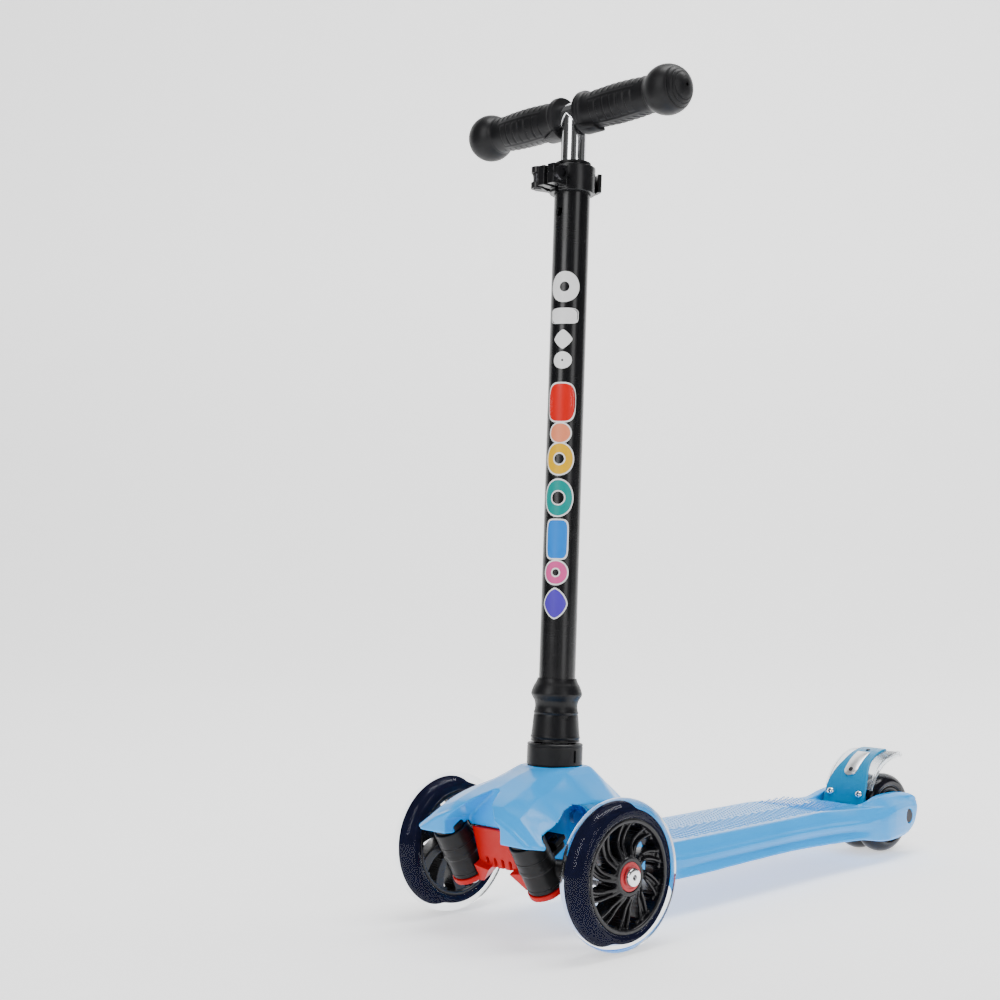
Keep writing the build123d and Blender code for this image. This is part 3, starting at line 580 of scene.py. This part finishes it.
parts = [lathe("rim", [(-11, 42.6), (-10.2, 41.6), (10.2, 41.2), (11, 42.0), (11, 44.3), (10.4, 45),
                       (-10.4, 45), (-11, 44.3)])]
boss = [(-12, 12.0), (-12, 14.6), (-11.5, 15.2), (-6, 16.0), (6, 16.8), (11.2, 15.4), (12, 14.6), (12, 12.0),
        (10.9, 11.0), (-10.9, 11.0)]
parts.append(lathe("boss", boss))
for n in range(RIBS):
    start = 2 * math.pi * n / RIBS
    for shift in (-0.105, 0.105):
        parts.append(swept_rib(start + shift, SWEEP, 14.0, 43.0, 1.5, dish, -9.0))
    rings = []
    for k in range(9):
        t = k / 8
        r = 14.0 + 29.0 * t
        turn = start - SWEEP * t**1.2
        rings.append([(x, r * math.cos(turn + w), r * math.sin(turn + w)) for x, w in
                      ((-9.0, -0.10), (dish(r) - 3.4, -0.10), (dish(r) - 3.4, 0.10), (-9.0, 0.10))])
    parts.append(loft("web", rings))
    tip = start - SWEEP
    for w in (-0.105, 0.105):
        for turn in (-1, 1):
            at = tip + w + turn * 0.060
            ring = circle(1.9, 10, 41.0 * math.cos(at), 41.0 * math.sin(at))
            parts.append(prism("fillet", ring, -8.5, 5.6))
hub = mould(gather("hub_master", parts), 0.6, 3)
tyre_ring = [(-11, 45.1), (-12.3, 46.2), (-13, 48.5)]
tyre_ring += [(-13 * math.cos(t), 50.2 + 9.8 * math.sin(t))
              for t in [math.pi * k / 24 for k in range(1, 24)]]
tyre_ring += [(13, 48.5), (12.3, 46.2), (11, 45.1)]
core_ring = [(-8.4, 45.3), (-8.8, 46), (-8.8, 50.4), (-7.6, 51.8), (7.6, 51.8), (8.8, 50.4), (8.8, 46),
             (8.4, 45.3)]
seal = [(10.9, 7.0), (10.9, 11.2), (11.5, 11.5), (12.05, 11.2), (12.15, 9.4), (11.7, 8.8), (11.7, 7.0)]
for name, side in (("left", 1), ("right", -1)):
    body = f"front_wheel_{name}"
    turned = Matrix.Rotation(0 if side > 0 else math.pi, 4, "Z")
    at = Matrix.Translation((side * front_axle.x, front_axle.y, front_axle.z)) @ turned
    piece = bpy.data.objects.new(f"front_hub_{name}_body", hub.data.copy())
    bpy.context.scene.collection.objects.link(piece)
    piece.data.transform(Matrix.Translation(at.translation * MM) @ turned)
    finish_piece(piece, body, gloss_black, [f"front_hub_{name}"])
    tyre = shade(lathe(f"front_tyre_{name}_body", tyre_ring, sides=160, place=at), 50)
    finish_piece(tyre, body, clear, [f"front_tyre_{name}"])
    core = gather(f"light_ring_{name}", [lathe("ring", core_ring, sides=128, place=at)])
    finish_piece(shade(core), body, navy_with_painted_glow, [f"front_light_core_{name}"])
    rings = [lathe("seal", [(s * x, r) for x, r in seal], sides=72, place=at) for s in (1, -1)]
    finish_piece(shade(gather(f"hub_seals_{name}", rings)), body, seal_red,
                 [f"front_seals_{name}"])
    bearing = frame["nodes"][f"front_bearings_{name}"]
    bearing.data.materials.clear()
    bearing.data.materials.append(zinc)
    low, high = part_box(f"front_axle_bolt_{name}")
    tip = (high.x if side > 0 else -low.x) / MM - front_axle.x
    head = [(-12.4, 0), (-12.4, 3.9), (12.2, 3.9), (12.2, 7.0), (12.6, 7.3), (tip - 1.1, 7.3),
            (tip - 0.4, 6.9), (tip, 5.8), (tip, 0)]
    bolt = lathe(f"axle_bolt_{name}", head, sides=64, place=at)
    socket = prism("tool", circle(2.6, 6), tip - 2.6, tip + 1, "X", at)
    carve(bolt, socket)
    end = (low.x if side > 0 else -high.x) / MM - front_axle.x
    shank = lathe("shank", [(end, 0), (end, 3.9), (-11, 3.9), (-11, 0)], sides=32, place=at)
    bolt = shade(gather(f"axle_bolt_{name}", [bolt, shank]))
    finish_piece(bolt, f"knuckle_{name}", silver, [f"front_axle_bolt_{name}"])
bpy.data.objects.remove(hub)

# ---- Rear wheels ----
# Two narrow wheels on one axle in the fork: smoky polyurethane cast on plain nylon hubs with six spokes.
smoke = surface("smoky_polyurethane", (0.009, 0.009, 0.014), 0.16, grain=600, depth=0.04, tone=0.12,
                corner_dust_and_shade=0.4, dust_and_shade_colour=(0.06, 0.06, 0.06), scratch=0.02, Transmission_Weight=0.15,
                Specular_IOR_Level=0.3)
rear_ring = [(-9.8, 27.1), (-10.6, 28), (-11.5, 30)]
rear_ring += [(-11.5 * math.cos(t), 31.4 + 8.6 * math.sin(t))
              for t in [math.pi * k / 20 for k in range(1, 20)]]
rear_ring += [(11.5, 30), (10.6, 28), (9.8, 27.1)]
parts = [lathe("rim", [(-10, 23.6), (-9.4, 22.8), (9.4, 22.8), (10, 23.6), (10, 26.6), (9.6, 27), (-9.6, 27),
                       (-10, 26.6)])]
parts.append(lathe("boss", [(-11, 11.0), (-11, 13.4), (-10.4, 14), (10.4, 14), (11, 13.4), (11, 11.0)]))
for n in range(6):
    parts.append(swept_rib(2 * math.pi * n / 6, 0.0, 12.0, 25.0, 2.2, lambda r: 7.0, -7.0))
hub = mould(gather("hub_master", parts), 0.6, 3)
for name, side in (("left", 1), ("right", -1)):
    body = f"rear_wheel_{name}"
    at = Matrix.Translation((side * rear_axle.x, rear_axle.y, rear_axle.z))
    piece = bpy.data.objects.new(f"rear_hub_{name}_body", hub.data.copy())
    bpy.context.scene.collection.objects.link(piece)
    piece.data.transform(Matrix.Translation(at.translation * MM))
    finish_piece(piece, body, gloss_black, [f"rear_hub_{name}"])
    tyre = shade(lathe(f"rear_tyre_{name}_body", rear_ring, sides=128, place=at), 50)
    finish_piece(tyre, body, smoke, [f"rear_tyre_{name}"])
    bearing = frame["nodes"][f"rear_bearings_{name}"]
    bearing.data.materials.clear()
    bearing.data.materials.append(zinc)
bpy.data.objects.remove(hub)

# ---- Brake ----
# A stiff teal-blue moulding hinged in the fork, with a clear mudguard screwed under it by two dome-head
# screws, and a satin metal badge held by two dark ones. A torsion spring round the pin lifts it off.
# Its corners blend towards a deeper teal, a painted shade in the creases.
teal = surface("teal_brake_moulding", (0.0, 0.235, 0.47), 0.26, grain=1700, depth=0.03, tone=0.04, corner_dust_and_shade=0.08,
               dust_and_shade_colour=(0.0, 0.14, 0.26), scratch=0.04, Specular_IOR_Level=0.3)
guard_clear = surface("clear_guard_sheet", (0.88, 0.92, 0.95), 0.10, grain=500, depth=0.03, tone=0.03,
                      corner_dust_and_shade=0.1, dust_and_shade_colour=(0.7, 0.7, 0.7), scratch=0.02, Transmission_Weight=0.92, IOR=1.45)
satin = metal("satin_badge_plate", (0.78, 0.79, 0.80), 0.34, stretch=(12, 1, 1))
chrome = metal("polished_chrome", (0.88, 0.89, 0.91), 0.045)
GUARD_IN, GUARD_OUT, PLATE_OUT, BADGE_OUT = 54.5, 57.0, 59.5, 61.0
DRUM_BACK, DRUM_UP = 10.0, 5.0


def around_drum(degrees, radius, x=0.0):
    """A point of the brake's drum, whose middle lies behind and above the rear axle."""
    t = math.radians(degrees)
    return (x, rear_axle.y + DRUM_BACK + radius * math.cos(t), rear_axle.z + DRUM_UP + radius * math.sin(t))


def flared(degrees):
    """How far the guard's tail stands off its drum."""
    return 5.0 * (max(0, 85 - degrees) / 35) ** 2


def drum_strip(name, section, start, end, step=1.5, widths=None):
    """A section of (x, radius) points swept round the drum, as wide as the table of widths says."""
    count = round((end - start) / step)
    rings = []
    for k in range(count + 1):
        degrees = start + (end - start) * k / count
        wide = ease(widths, degrees)[0] if widths else 1.0
        out = flared(degrees)
        rings.append([around_drum(degrees, r + out, x * wide) for x, r in section])
    return loft(name, rings)


PLATE_WIDTH = [(90, 0.58), (96, 0.604), (110, 0.62), (122, 0.66), (135, 0.80), (150, 0.955), (158, 1.0),
               (165, 1.0)]
plate_section = [(-24, GUARD_OUT), (-24, PLATE_OUT - 0.9), (-23.1, PLATE_OUT - 0.1), (0, PLATE_OUT)]
plate_section += [(23.1, PLATE_OUT - 0.1), (24, PLATE_OUT - 0.9), (24, GUARD_OUT)]
plate = drum_strip("brake_plate_body", plate_section, 90, 165, widths=PLATE_WIDTH)
carve(plate, prism("tool", circle(5.5, 40, brake_pin.y, brake_pin.z), -24, 24), "UNION")
web = [(-2, 4), (4.5, 2.5), (5.2, 15.5), (2.6, 15), (1.45, 12.9)]
carve(plate, prism("tool", [(brake_pin.y + y, brake_pin.z + z) for y, z in web], -24, 24), "UNION")
carve(plate, drum_strip("tool", [(-40, 40), (-40, GUARD_OUT), (40, GUARD_OUT), (40, 40)], 86, 160, 2))
carve(plate, prism("tool", circle(6.0, 40, brake_pin.y, brake_pin.z), -9, 9))
carve(plate, prism("tool", circle(3.06, 32, brake_pin.y, brake_pin.z), -40, 40))
finish_piece(mould(plate, 0.55, 2), "brake", teal, ["brake_plate"])

GUARD_WIDTH = [(60, 0.50), (66, 0.62), (80, 0.86), (92, 0.97), (102, 1.0), (155, 1.0)]
lip = 52.0
guard_section = [(-27.2, lip), (-27.2, GUARD_OUT - 1.6), (-26.6, GUARD_OUT - 0.5), (-25.6, GUARD_OUT)]
guard_section += [(25.6, GUARD_OUT), (26.6, GUARD_OUT - 0.5), (27.2, GUARD_OUT - 1.6), (27.2, lip),
                  (25.4, lip)]
guard_section += [(25.4, GUARD_IN - 0.6), (24.8, GUARD_IN), (-24.8, GUARD_IN), (-25.4, GUARD_IN - 0.6),
                  (-25.4, lip)]
guard = shade(drum_strip("mudguard_body", guard_section, 60, 155, widths=GUARD_WIDTH), 40)
finish_piece(guard, "brake", guard_clear, ["brake_mudguard"])

BADGE_AT, BARE_AT, BADGE_HALF = 137.0, 103.0, 7.5
rings = []
for k in range(41):
    degrees = 110.5 + (BADGE_AT + 7.0 - 110.5) * k / 40
    past = max(0.0, (degrees - BADGE_AT) / 7.05 * BADGE_HALF)
    wide = math.sqrt(max(0.02, 1 - (past / BADGE_HALF) ** 2))
    rings.append([around_drum(degrees, r, x * wide) for x, r in
                  ((-7.5, PLATE_OUT), (-7.5, BADGE_OUT - 0.5), (-6.7, BADGE_OUT), (6.7, BADGE_OUT),
                   (7.5, BADGE_OUT - 0.5), (7.5, PLATE_OUT))])
finish_piece(shade(loft("brake_badge_body", rings), 50), "brake", satin, ["brake_badge"])


def dome_screw(name, degrees, radius, x, head, height, shank):
    """A domed head with a cross recess."""
    spot = Vector(around_drum(degrees, radius, x))
    place = Matrix.Translation(spot) @ Matrix.Rotation(math.radians(degrees - 90), 4, "X")
    curve = [(height * math.sin(t), head * math.cos(t)) for t in [math.pi / 2 * k / 8 for k in range(8)]]
    made = lathe(name, [(-4.4, 0), (-4.4, shank), (0, shank)] + curve + [(height, 0)], axis="Z", sides=40,
                 place=place)
    for turn in (0.4, 0.4 + math.pi / 2):
        tilt = place @ Matrix.Rotation(turn, 4, "Z")
        carve(made, box("tool", -head * 0.55, head * 0.55, -head * 0.12, head * 0.12, height * 0.45,
                        height + 1, tilt))
    return shade(made, 30)


screws = [dome_screw("screw", 162, PLATE_OUT, x, 4.0, 2.6, 2.0) for x in (-17, 17)]
finish_piece(gather("brake_dome_screws", screws), "brake", chrome, ["brake_plate_screws"])
screws = [dome_screw("screw", degrees, radius - 0.1, 0, 2.6, 1.1, 1.5)
          for degrees, radius in ((BADGE_AT, BADGE_OUT), (BARE_AT, PLATE_OUT))]
finish_piece(gather("badge_dark_screws", screws), "brake", dark_screw, ["brake_badge_screws"])
path = helix(4.4, 6, -7.4, 7.4, lambda a, c, s: (a, brake_pin.y + c, brake_pin.z + s))
finish_piece(shade(coil("brake_torsion_coil", path, 0.7), 60), "deck", spring_steel,
             ["brake_spring"])

# ---- Folding joint, collar and lock sleeve ----
# The stem's root is a casting held by a cross bolt, under a black nylon collar that sits on the nose. The
# waisted sleeve covers the fold pin and locks the joint until it is lifted; fine steps ring its lower half.
cast = metal("bead_blasted_casting", (0.50, 0.50, 0.52), 0.48)
for node in ("fold_tongue", "fold_fork"):
    frame["nodes"][node].data.materials.clear()
    frame["nodes"][node].data.materials.append(cast)
ring = [(-10, 18.1), (-10, 22.0), (-1.0, 22.0), (-1.0, 22.9), (-0.5, 23.5), (13.9, 23.5), (14.2, 23.2),
        (14.8, 23.2)]
ring += [(15.1, 23.5), (16.2, 23.5), (17.0, 22.7), (17.0, 18.1)]
collar = lathe("stem_collar_body", ring, axis="Z", sides=120, place=on_stem)
for side in (1, -1):
    carve(collar, box("tool", side * 22.0, side * 25.0, -1.4, 1.4, 2, 12, on_stem))
    carve(collar, box("tool", side * 16.0, side * 20.0, -5, 5, -11, -6, on_stem))
finish_piece(shade(collar, 30), "deck", black, ["stem_collar"])

outline = [(18.5, 20.7), (30, 19.8), (42, 18.7), (48, 17.9), (52, 18.6), (55, 20.3), (58, 21.6), (61, 20.9),
           (65, 19.3), (68, 17.6), (71, 16.6)]
outer = []
for k in range(106):
    s = 18.5 + 52.5 * k / 105
    r = ease(outline, s)[0]
    for level in (22.0, 42.5):
        r += 0.55 * math.exp(-(((s - level) / 0.55) ** 2))
        r -= 0.35 * math.exp(-(((s - level + 1.6) / 0.5) ** 2))
    outer.append((s, r))
bore = [(71, 15.58), (59, 15.58), (57, 16.2), (42, 16.2), (34, 18.0), (18.5, 18.0)]
sleeve = lathe("lock_sleeve_body", outer + bore, axis="Z", sides=120, place=on_stem)
for turn in (-20, 160):
    spin = on_stem @ Matrix.Rotation(math.radians(turn), 4, "Z")
    carve(sleeve, box("tool", 17.6, 21.5, -3.5, 3.5, 38.2, 41.0, spin))
finish_piece(shade(sleeve, 40), "lock_sleeve", black, ["lock_sleeve"])

# ---- Lower tube with its printed shapes ----
# Drawn steel tube with a satin black powder coat, a stop hole near the top for the snap button, and a column
# of plain printed shapes on its front, each with a white border.
coat = surface("black_powder_coat", (0.005, 0.005, 0.006), 0.24, grain=2600, depth=0.04, tone=0.08, corner_dust_and_shade=0.1,
               dust_and_shade_colour=(0.02, 0.02, 0.02), scratch=0.03, Specular_IOR_Level=0.45)
TUBE_R, TUBE_BORE, TUBE_LOW, TUBE_TOP, STOP_S = 15.5, 13.5, 60.0, 511.0, 468.6
section = [(TUBE_LOW, TUBE_BORE), (TUBE_LOW, TUBE_R - 0.4), (TUBE_LOW + 0.4, TUBE_R)]
section += [(TUBE_TOP - 0.5, TUBE_R), (TUBE_TOP, TUBE_R - 0.5), (TUBE_TOP, TUBE_BORE)]
tube = lathe("lower_tube_body", section, axis="Z", sides=128, place=on_stem)
carve(tube, prism("tool", circle(4.0, 32, 0, STOP_S), -30, 0, "Y", on_stem))
carve(tube, box("tool", -1.5, 1.5, 5, 30, TUBE_TOP - 28, TUBE_TOP + 5, on_stem))
finish_piece(shade(tube, 30), "stem", coat, ["lower_tube"])


def ink(name, colour):
    return surface(name, colour, 0.35, grain=2200, depth=0.05, tone=0.04, corner_dust_and_shade=0.1, Specular_IOR_Level=0.25)


def blob(a, b, power, count=120):
    """A rounded shape of half sizes a and b: a diamond at power 1, an oval at 2, a rounded square above."""
    points = []
    for k in range(count):
        c, s = math.cos(2 * math.pi * k / count), math.sin(2 * math.pi * k / count)
        r = (abs(c / a) ** power + abs(s / b) ** power) ** (-1 / power)
        points.append((r * c, r * s))
    return points


def printed(name, middle_s, outer_loop, inner_loop, lift):
    """A ring or filled shape laid on the tube: loops of (along, around) points."""
    rings = []
    for t in [k / 6 for k in range(7)]:
        ring = []
        for (u0, v0), (u1, v1) in zip(outer_loop, inner_loop):
            u, v = u0 + (u1 - u0) * t, v0 + (v1 - v0) * t
            turn = DECAL_TURN + v / TUBE_R
            ring.append(((TUBE_R + lift) * math.cos(turn), (TUBE_R + lift) * math.sin(turn), middle_s - u))
        rings.append(ring)
    n = len(outer_loop)
    points = [p for ring in rings for p in ring]
    faces = [(r * n + i, r * n + (i + 1) % n, (r + 1) * n + (i + 1) % n, (r + 1) * n + i)
             for r in range(6) for i in range(n)]
    return solid(name, points, faces, on_stem)


DECAL_TURN = math.radians(-61)
white = (0.80, 0.80, 0.80)
SHAPES = [
    (403, 12, 12, 2.0, 5.5, white), (378, 5.5, 12, 4.0, 0, white), (358, 7, 7, 1.3, 0, white),
    (340, 6, 7, 2.0, 2.2, white), (304, 16, 12, 3.2, 0, (0.62, 0.006, 0.003)),
    (278, 8, 9, 2.0, 0, (0.80, 0.24, 0.12)),
    (256, 13, 12, 2.0, 5.5, (0.75, 0.42, 0.0)), (223, 15, 12.5, 2.0, 6.5, (0.0, 0.26, 0.24)),
    (188, 16, 9, 5.0, 0, (0.0, 0.20, 0.70)), (160, 9.5, 10, 2.0, 4.0, (0.66, 0.08, 0.28)),
    (134, 12, 10, 1.5, 0, (0.08, 0.04, 0.45)),
]
for number, (s, a, b, power, hole, colour) in enumerate(SHAPES):
    inner = blob(hole, hole, 2.0) if hole else blob(0.01, 0.01, 2.0)
    rim = blob(hole - 1.2, hole - 1.2, 2.0) if hole else blob(0.01, 0.01, 2.0)
    border = printed(f"print_border_{number}", s, blob(a + 1.3, b + 1.3, power), rim, 0.03)
    fill = printed(f"print_fill_{number}", s, blob(a, b, power), inner, 0.06)
    finish_piece(shade(border, 60), "stem", ink(f"border_ink_{number}", white))
    finish_piece(shade(fill, 60), "stem", ink(f"shape_ink_{number}", colour))

# ---- Clamp ----
# A split nylon collar round the top of the tube, pulled tight by a bolt across its two ears. The forked
# lever turns on a steel barrel beside the ears and lies round the back of the collar when it is shut.
clamp_black = surface("clamp_nylon", (0.006, 0.006, 0.007), 0.28, grain=1500, depth=0.04, tone=0.15,
                      corner_dust_and_shade=0.25, dust_and_shade_colour=(0.03, 0.03, 0.03), Specular_IOR_Level=0.4)
clamp = soft_copy("clamp_collar_body", "clamp_collar", 0.45, 3)
finish_piece(clamp, "stem", clamp_black, ["clamp_collar"])
lever = soft_copy("clamp_lever_body", "clamp_lever", 0.4, 2)
finish_piece(lever, "clamp_lever", clamp_black, ["clamp_lever"])
for node in ("post_guide", "post_foot"):
    frame["nodes"][node].data.materials.clear()
    frame["nodes"][node].data.materials.append(black)
for node in ("clamp_bolt", "clamp_nut", "clamp_barrel"):
    frame["nodes"][node].data.materials.clear()
    frame["nodes"][node].data.materials.append(dark_screw)
leaf = bpy.data.objects.new("button_leaf", frame["nodes"]["button_spring"].data.copy())
bpy.context.scene.collection.objects.link(leaf)
finish_piece(shade(leaf), "post", spring_steel, ["button_spring"])
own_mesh(leaf)

# ---- Upper post and handlebar ----
# Bright chromed tube, welded into a T with a bead round the joint; the post slides in the lower tube.
bar = middle("handlebar")
BAR_S = (bar - stem_base).dot(stem_up)
low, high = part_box("handlebar")
half = (high.x - low.x) / 2 / MM
along = [(-half, 9.5), (-half, 10.6), (-half + 0.4, 11.0), (half - 0.4, 11.0), (half, 10.6), (half, 9.5)]
tube = lathe("handlebar_body", along, sides=128, place=on_stem @ Matrix.Translation((0, 0, BAR_S)))
finish_piece(shade(tube, 30), "post", chrome, ["handlebar"])
low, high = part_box("upper_post")
foot = stem_up.dot(Vector((0, 0, low.z / MM)) - Vector((0, 0, stem_base.z))) + 0.6
along = [(foot, 9.5), (foot, 10.6), (foot + 0.4, 11.0), (BAR_S - 1.0, 11.0), (BAR_S - 1.0, 9.5)]
post = lathe("upper_post_body", along, axis="Z", sides=128, place=on_stem)
carve(post, prism("tool", circle(11.0, 128, 0, BAR_S), -20, 20, "X", on_stem))
button = (middle("snap_button") - stem_base).dot(stem_up)
carve(post, prism("tool", circle(3.6, 32, 0, button), -30, 0, "Y", on_stem))
finish_piece(shade(post, 30), "post", chrome, ["upper_post"])
bead = []
for k in range(72):
    t = 2 * math.pi * k / 72
    x, y = 11.0 * math.cos(t), 11.0 * math.sin(t)
    drop = math.sqrt(max(0.0, 11.0**2 - y**2))
    bead.append(Vector((x, y, BAR_S - drop - 0.2)))
rings = []
for p in bead:
    out = Vector((p.x, p.y, 0)).normalized()
    rings.append([p + out * (0.8 * math.cos(a)) + Vector((0, 0, 0.8 * math.sin(a))) for a in
                  [2 * math.pi * n / 8 for n in range(8)]])
weld = shade(loft("weld_bead", rings, on_stem, closed=True), 60)
finish_piece(weld, "post", chrome)

# ---- Grips ----
# Soft black rubber sleeves with a flange and a short skirt beside the post, raised pads where the palm lies,
# crescent ribs below for the fingers, and a ball end with three fine rings and a small vent hole.
rubber = surface("grip_rubber", (0.007, 0.007, 0.008), 0.42, grain=1500, depth=0.07, tone=0.18, corner_dust_and_shade=0.3,
                 dust_and_shade_colour=(0.03, 0.03, 0.03), Specular_IOR_Level=0.22)
BALL_X, BALL_R = 105.7, 20.8
PROFILE = [(12, 17.3), (13, 18.0), (16.4, 18.0), (18, 16.2), (21, 15.6), (36, 16.1), (52, 16.6), (70, 16.2),
           (84, 15.4), (90, 15.5)]


def step_up(value, width):
    """0 to 1 as value goes from 0 to width."""
    t = min(1.0, max(0.0, value / width))
    return t * t * (3 - 2 * t)


def grip_radius(u, turn):
    """Radius of the rubber at a distance from the middle, and at an angle from the front."""
    ball = math.sqrt(max(0.0, BALL_R**2 - (u - BALL_X) ** 2))
    r = max(ease(PROFILE, min(u, 90.0))[0], ball) if u < BALL_X else ball
    if u < 92:
        inside = step_up(u - 23, 3) * step_up(88 - u, 3)
        front = math.cos(turn)
        pad = step_up(front - 0.80, 0.07) * step_up(u - 30, 1.2) * step_up(79 - u, 1.2)
        gap = 0.5 + 0.5 * math.cos(2 * math.pi * (u - 30) / 8.16)
        r += 0.40 * pad - 0.55 * pad * step_up(gap - 0.80, 0.12)
        edge = math.exp(-(((front - 0.74) / 0.035) ** 2)) * step_up(u - 27, 2) * step_up(82 - u, 2)
        r += 0.35 * edge
        under = step_up(0.62 - front, 0.12) * inside
        bow = u + 3.2 * math.cos(2 * turn) + 1.6 * math.sin(3 * turn)
        r += under * (0.55 * max(0.0, math.sin(2 * math.pi * bow / 6.8)) ** 1.4 - 0.15)
    if abs(u - 91.6) < 2:
        r += 0.5 * math.exp(-(((u - 91.6) / 0.6) ** 2))
    return r


def on_ball(u, r):
    for ring in (17.0, 14.2, 11.4):
        r -= 0.9 * math.exp(-(((ring - r) / 0.30) ** 2)) if u > BALL_X + 8 else 0.0
    return r


for name, side in (("left", 1), ("right", -1)):
    stations = [12 + k * 0.55 for k in range(170)]
    stations += [BALL_X + BALL_R * math.sin(a) for a in [math.pi / 2 * k / 64 for k in range(1, 64)]]
    rings = [[(side * 12.0, 11.02 * math.cos(2 * math.pi * n / 144),
               11.02 * math.sin(2 * math.pi * n / 144)) for n in range(144)]]
    for u in stations:
        ring = []
        for n in range(144):
            angle = 2 * math.pi * n / 144
            turn = angle - math.radians(205)
            r = on_ball(u, grip_radius(u, turn))
            ring.append((side * u, r * math.cos(angle), r * math.sin(angle)))
        rings.append(ring)
    place = on_stem @ Matrix.Translation((0, 0, BAR_S))
    grip = loft(f"grip_{name}_body", rings, place)
    skirt_rings = []
    for k in range(25):
        angle = math.radians(-90 - 42 + 84 * k / 24)
        drop = 1.0 - abs(k - 12) / 12
        reach = 17.0 + 13.5 * step_up(drop, 0.5)
        skirt_rings.append([(side * x, r * math.cos(angle), r * math.sin(angle)) for x, r in
                            ((12.5, 14.5), (12.5, 18.0), (13.3, 19.0), (reach - 1, 19.0), (reach, 18.2),
                             (reach, 14.5))])
    carve(grip, loft("skirt", skirt_rings, place), "UNION")
    end = BALL_X + BALL_R
    carve(grip, prism("tool", circle(1.5, 20), side * (end - 3), side * (end + 3), "X", place))
    carve(grip, prism("tool", circle(11.0, 64), side * 10, side * 118, "X", place))
    finish_piece(shade(grip, 40), "post", rubber, [f"grip_{name}"])

# ---- Studio ----
# A pale sheet that runs from the floor up behind, two large soft lights in front, one above, and two dark
# flags out of the picture that give the chrome and the black tube their dark bands.
paper = surface("pale_paper", (0.88, 0.88, 0.88), 0.85, grain=300, depth=0.03, tone=0.01, corner_dust_and_shade=0.0,
                Emission_Color=(1, 1, 1, 1), Emission_Strength=0.95)
sweep = []
for k in range(13):
    t = math.pi / 2 * k / 12
    sweep.append((1.9 + 1.1 * math.sin(t), 1.1 - 1.1 * math.cos(t)))
track = [(-4.0, 0.0), (0.0, 0.0)] + sweep + [(3.0, 4.5)]
across = Matrix.Rotation(math.radians(46.7), 4, "Z")
points = [tuple(across @ Vector((x, y, z))) for x in (-6.0, 6.0) for y, z in track]
n = len(track)
floor = solid("floor", [tuple(c / MM for c in p) for p in points],
              [(k, k + 1, n + k + 1, n + k) for k in range(n - 1)])
floor.data.shade_smooth()
floor.data.materials.append(paper)


def card(name, place, aim, width, height, colour):
    """A flat board that the glossy pieces mirror."""
    half, rise = width / 2 / MM, height / 2 / MM
    corners = [(-half, -rise, 0), (half, -rise, 0), (half, rise, 0), (-half, rise, 0)]
    board = solid(name, corners, [(0, 1, 2, 3)])
    board.location = place
    board.rotation_mode = "QUATERNION"
    board.rotation_quaternion = (Vector(place) - Vector(aim)).to_track_quat("Z", "Y")
    board.data.materials.append(colour)
    board.visible_camera = False


def soft_light(name, place, aim, wide, tall, power):
    light = bpy.data.lights.new(name, "AREA")
    light.shape = "RECTANGLE"
    light.size, light.size_y, light.energy = wide, tall, power
    lamp = bpy.data.objects.new(name, light)
    bpy.context.scene.collection.objects.link(lamp)
    lamp.location = place
    lamp.rotation_mode = "QUATERNION"
    lamp.rotation_quaternion = (Vector(place) - Vector(aim)).to_track_quat("Z", "Y")


dark_card = surface("dark_flag", (0.01, 0.01, 0.01), 0.9, grain=200, depth=0.02, tone=0.1, corner_dust_and_shade=0.0)
aim = (0.0, -0.05, 0.35)
card("flag_front", (1.25, -1.55, 0.9), aim, 0.28, 2.2, dark_card)
card("flag_left", (-1.2, -1.3, 0.7), aim, 1.1, 1.9, dark_card)
card("flag_right", (1.9, 0.5, 0.6), aim, 0.7, 1.6, dark_card)
soft_light("key", (0.15, -2.1, 1.35), aim, 0.9, 1.8, 24)
soft_light("fill", (2.1, -0.45, 1.0), aim, 0.8, 1.8, 12)
soft_light("top", (0.1, 0.1, 2.4), aim, 1.8, 1.8, 11)
soft_light("backdrop_wash", (0.4, 0.6, 2.6), (-1.4, 1.5, 0.6), 2.6, 1.2, 90)

world = bpy.data.worlds.new("studio")
world.use_nodes = True
world.node_tree.nodes["Background"].inputs["Color"].default_value = (1, 1, 1, 1)
world.node_tree.nodes["Background"].inputs["Strength"].default_value = 0.12
bpy.context.scene.world = world

camera = bpy.data.objects.new("camera", bpy.data.cameras.new("camera"))
bpy.context.scene.collection.objects.link(camera)
camera.location = (0.9459, -1.1571, 0.3201)
camera.rotation_mode = "QUATERNION"
look_along = Vector((-0.7283, 0.6848, 0.0274)).to_track_quat("-Z", "Y").to_matrix()
roll = Matrix.Rotation(math.radians(-0.25), 3, "Z")
camera.rotation_quaternion = (look_along @ roll).to_quaternion()
camera.data.lens = 57.0
camera.data.sensor_width = 36.0
bpy.context.scene.camera = camera
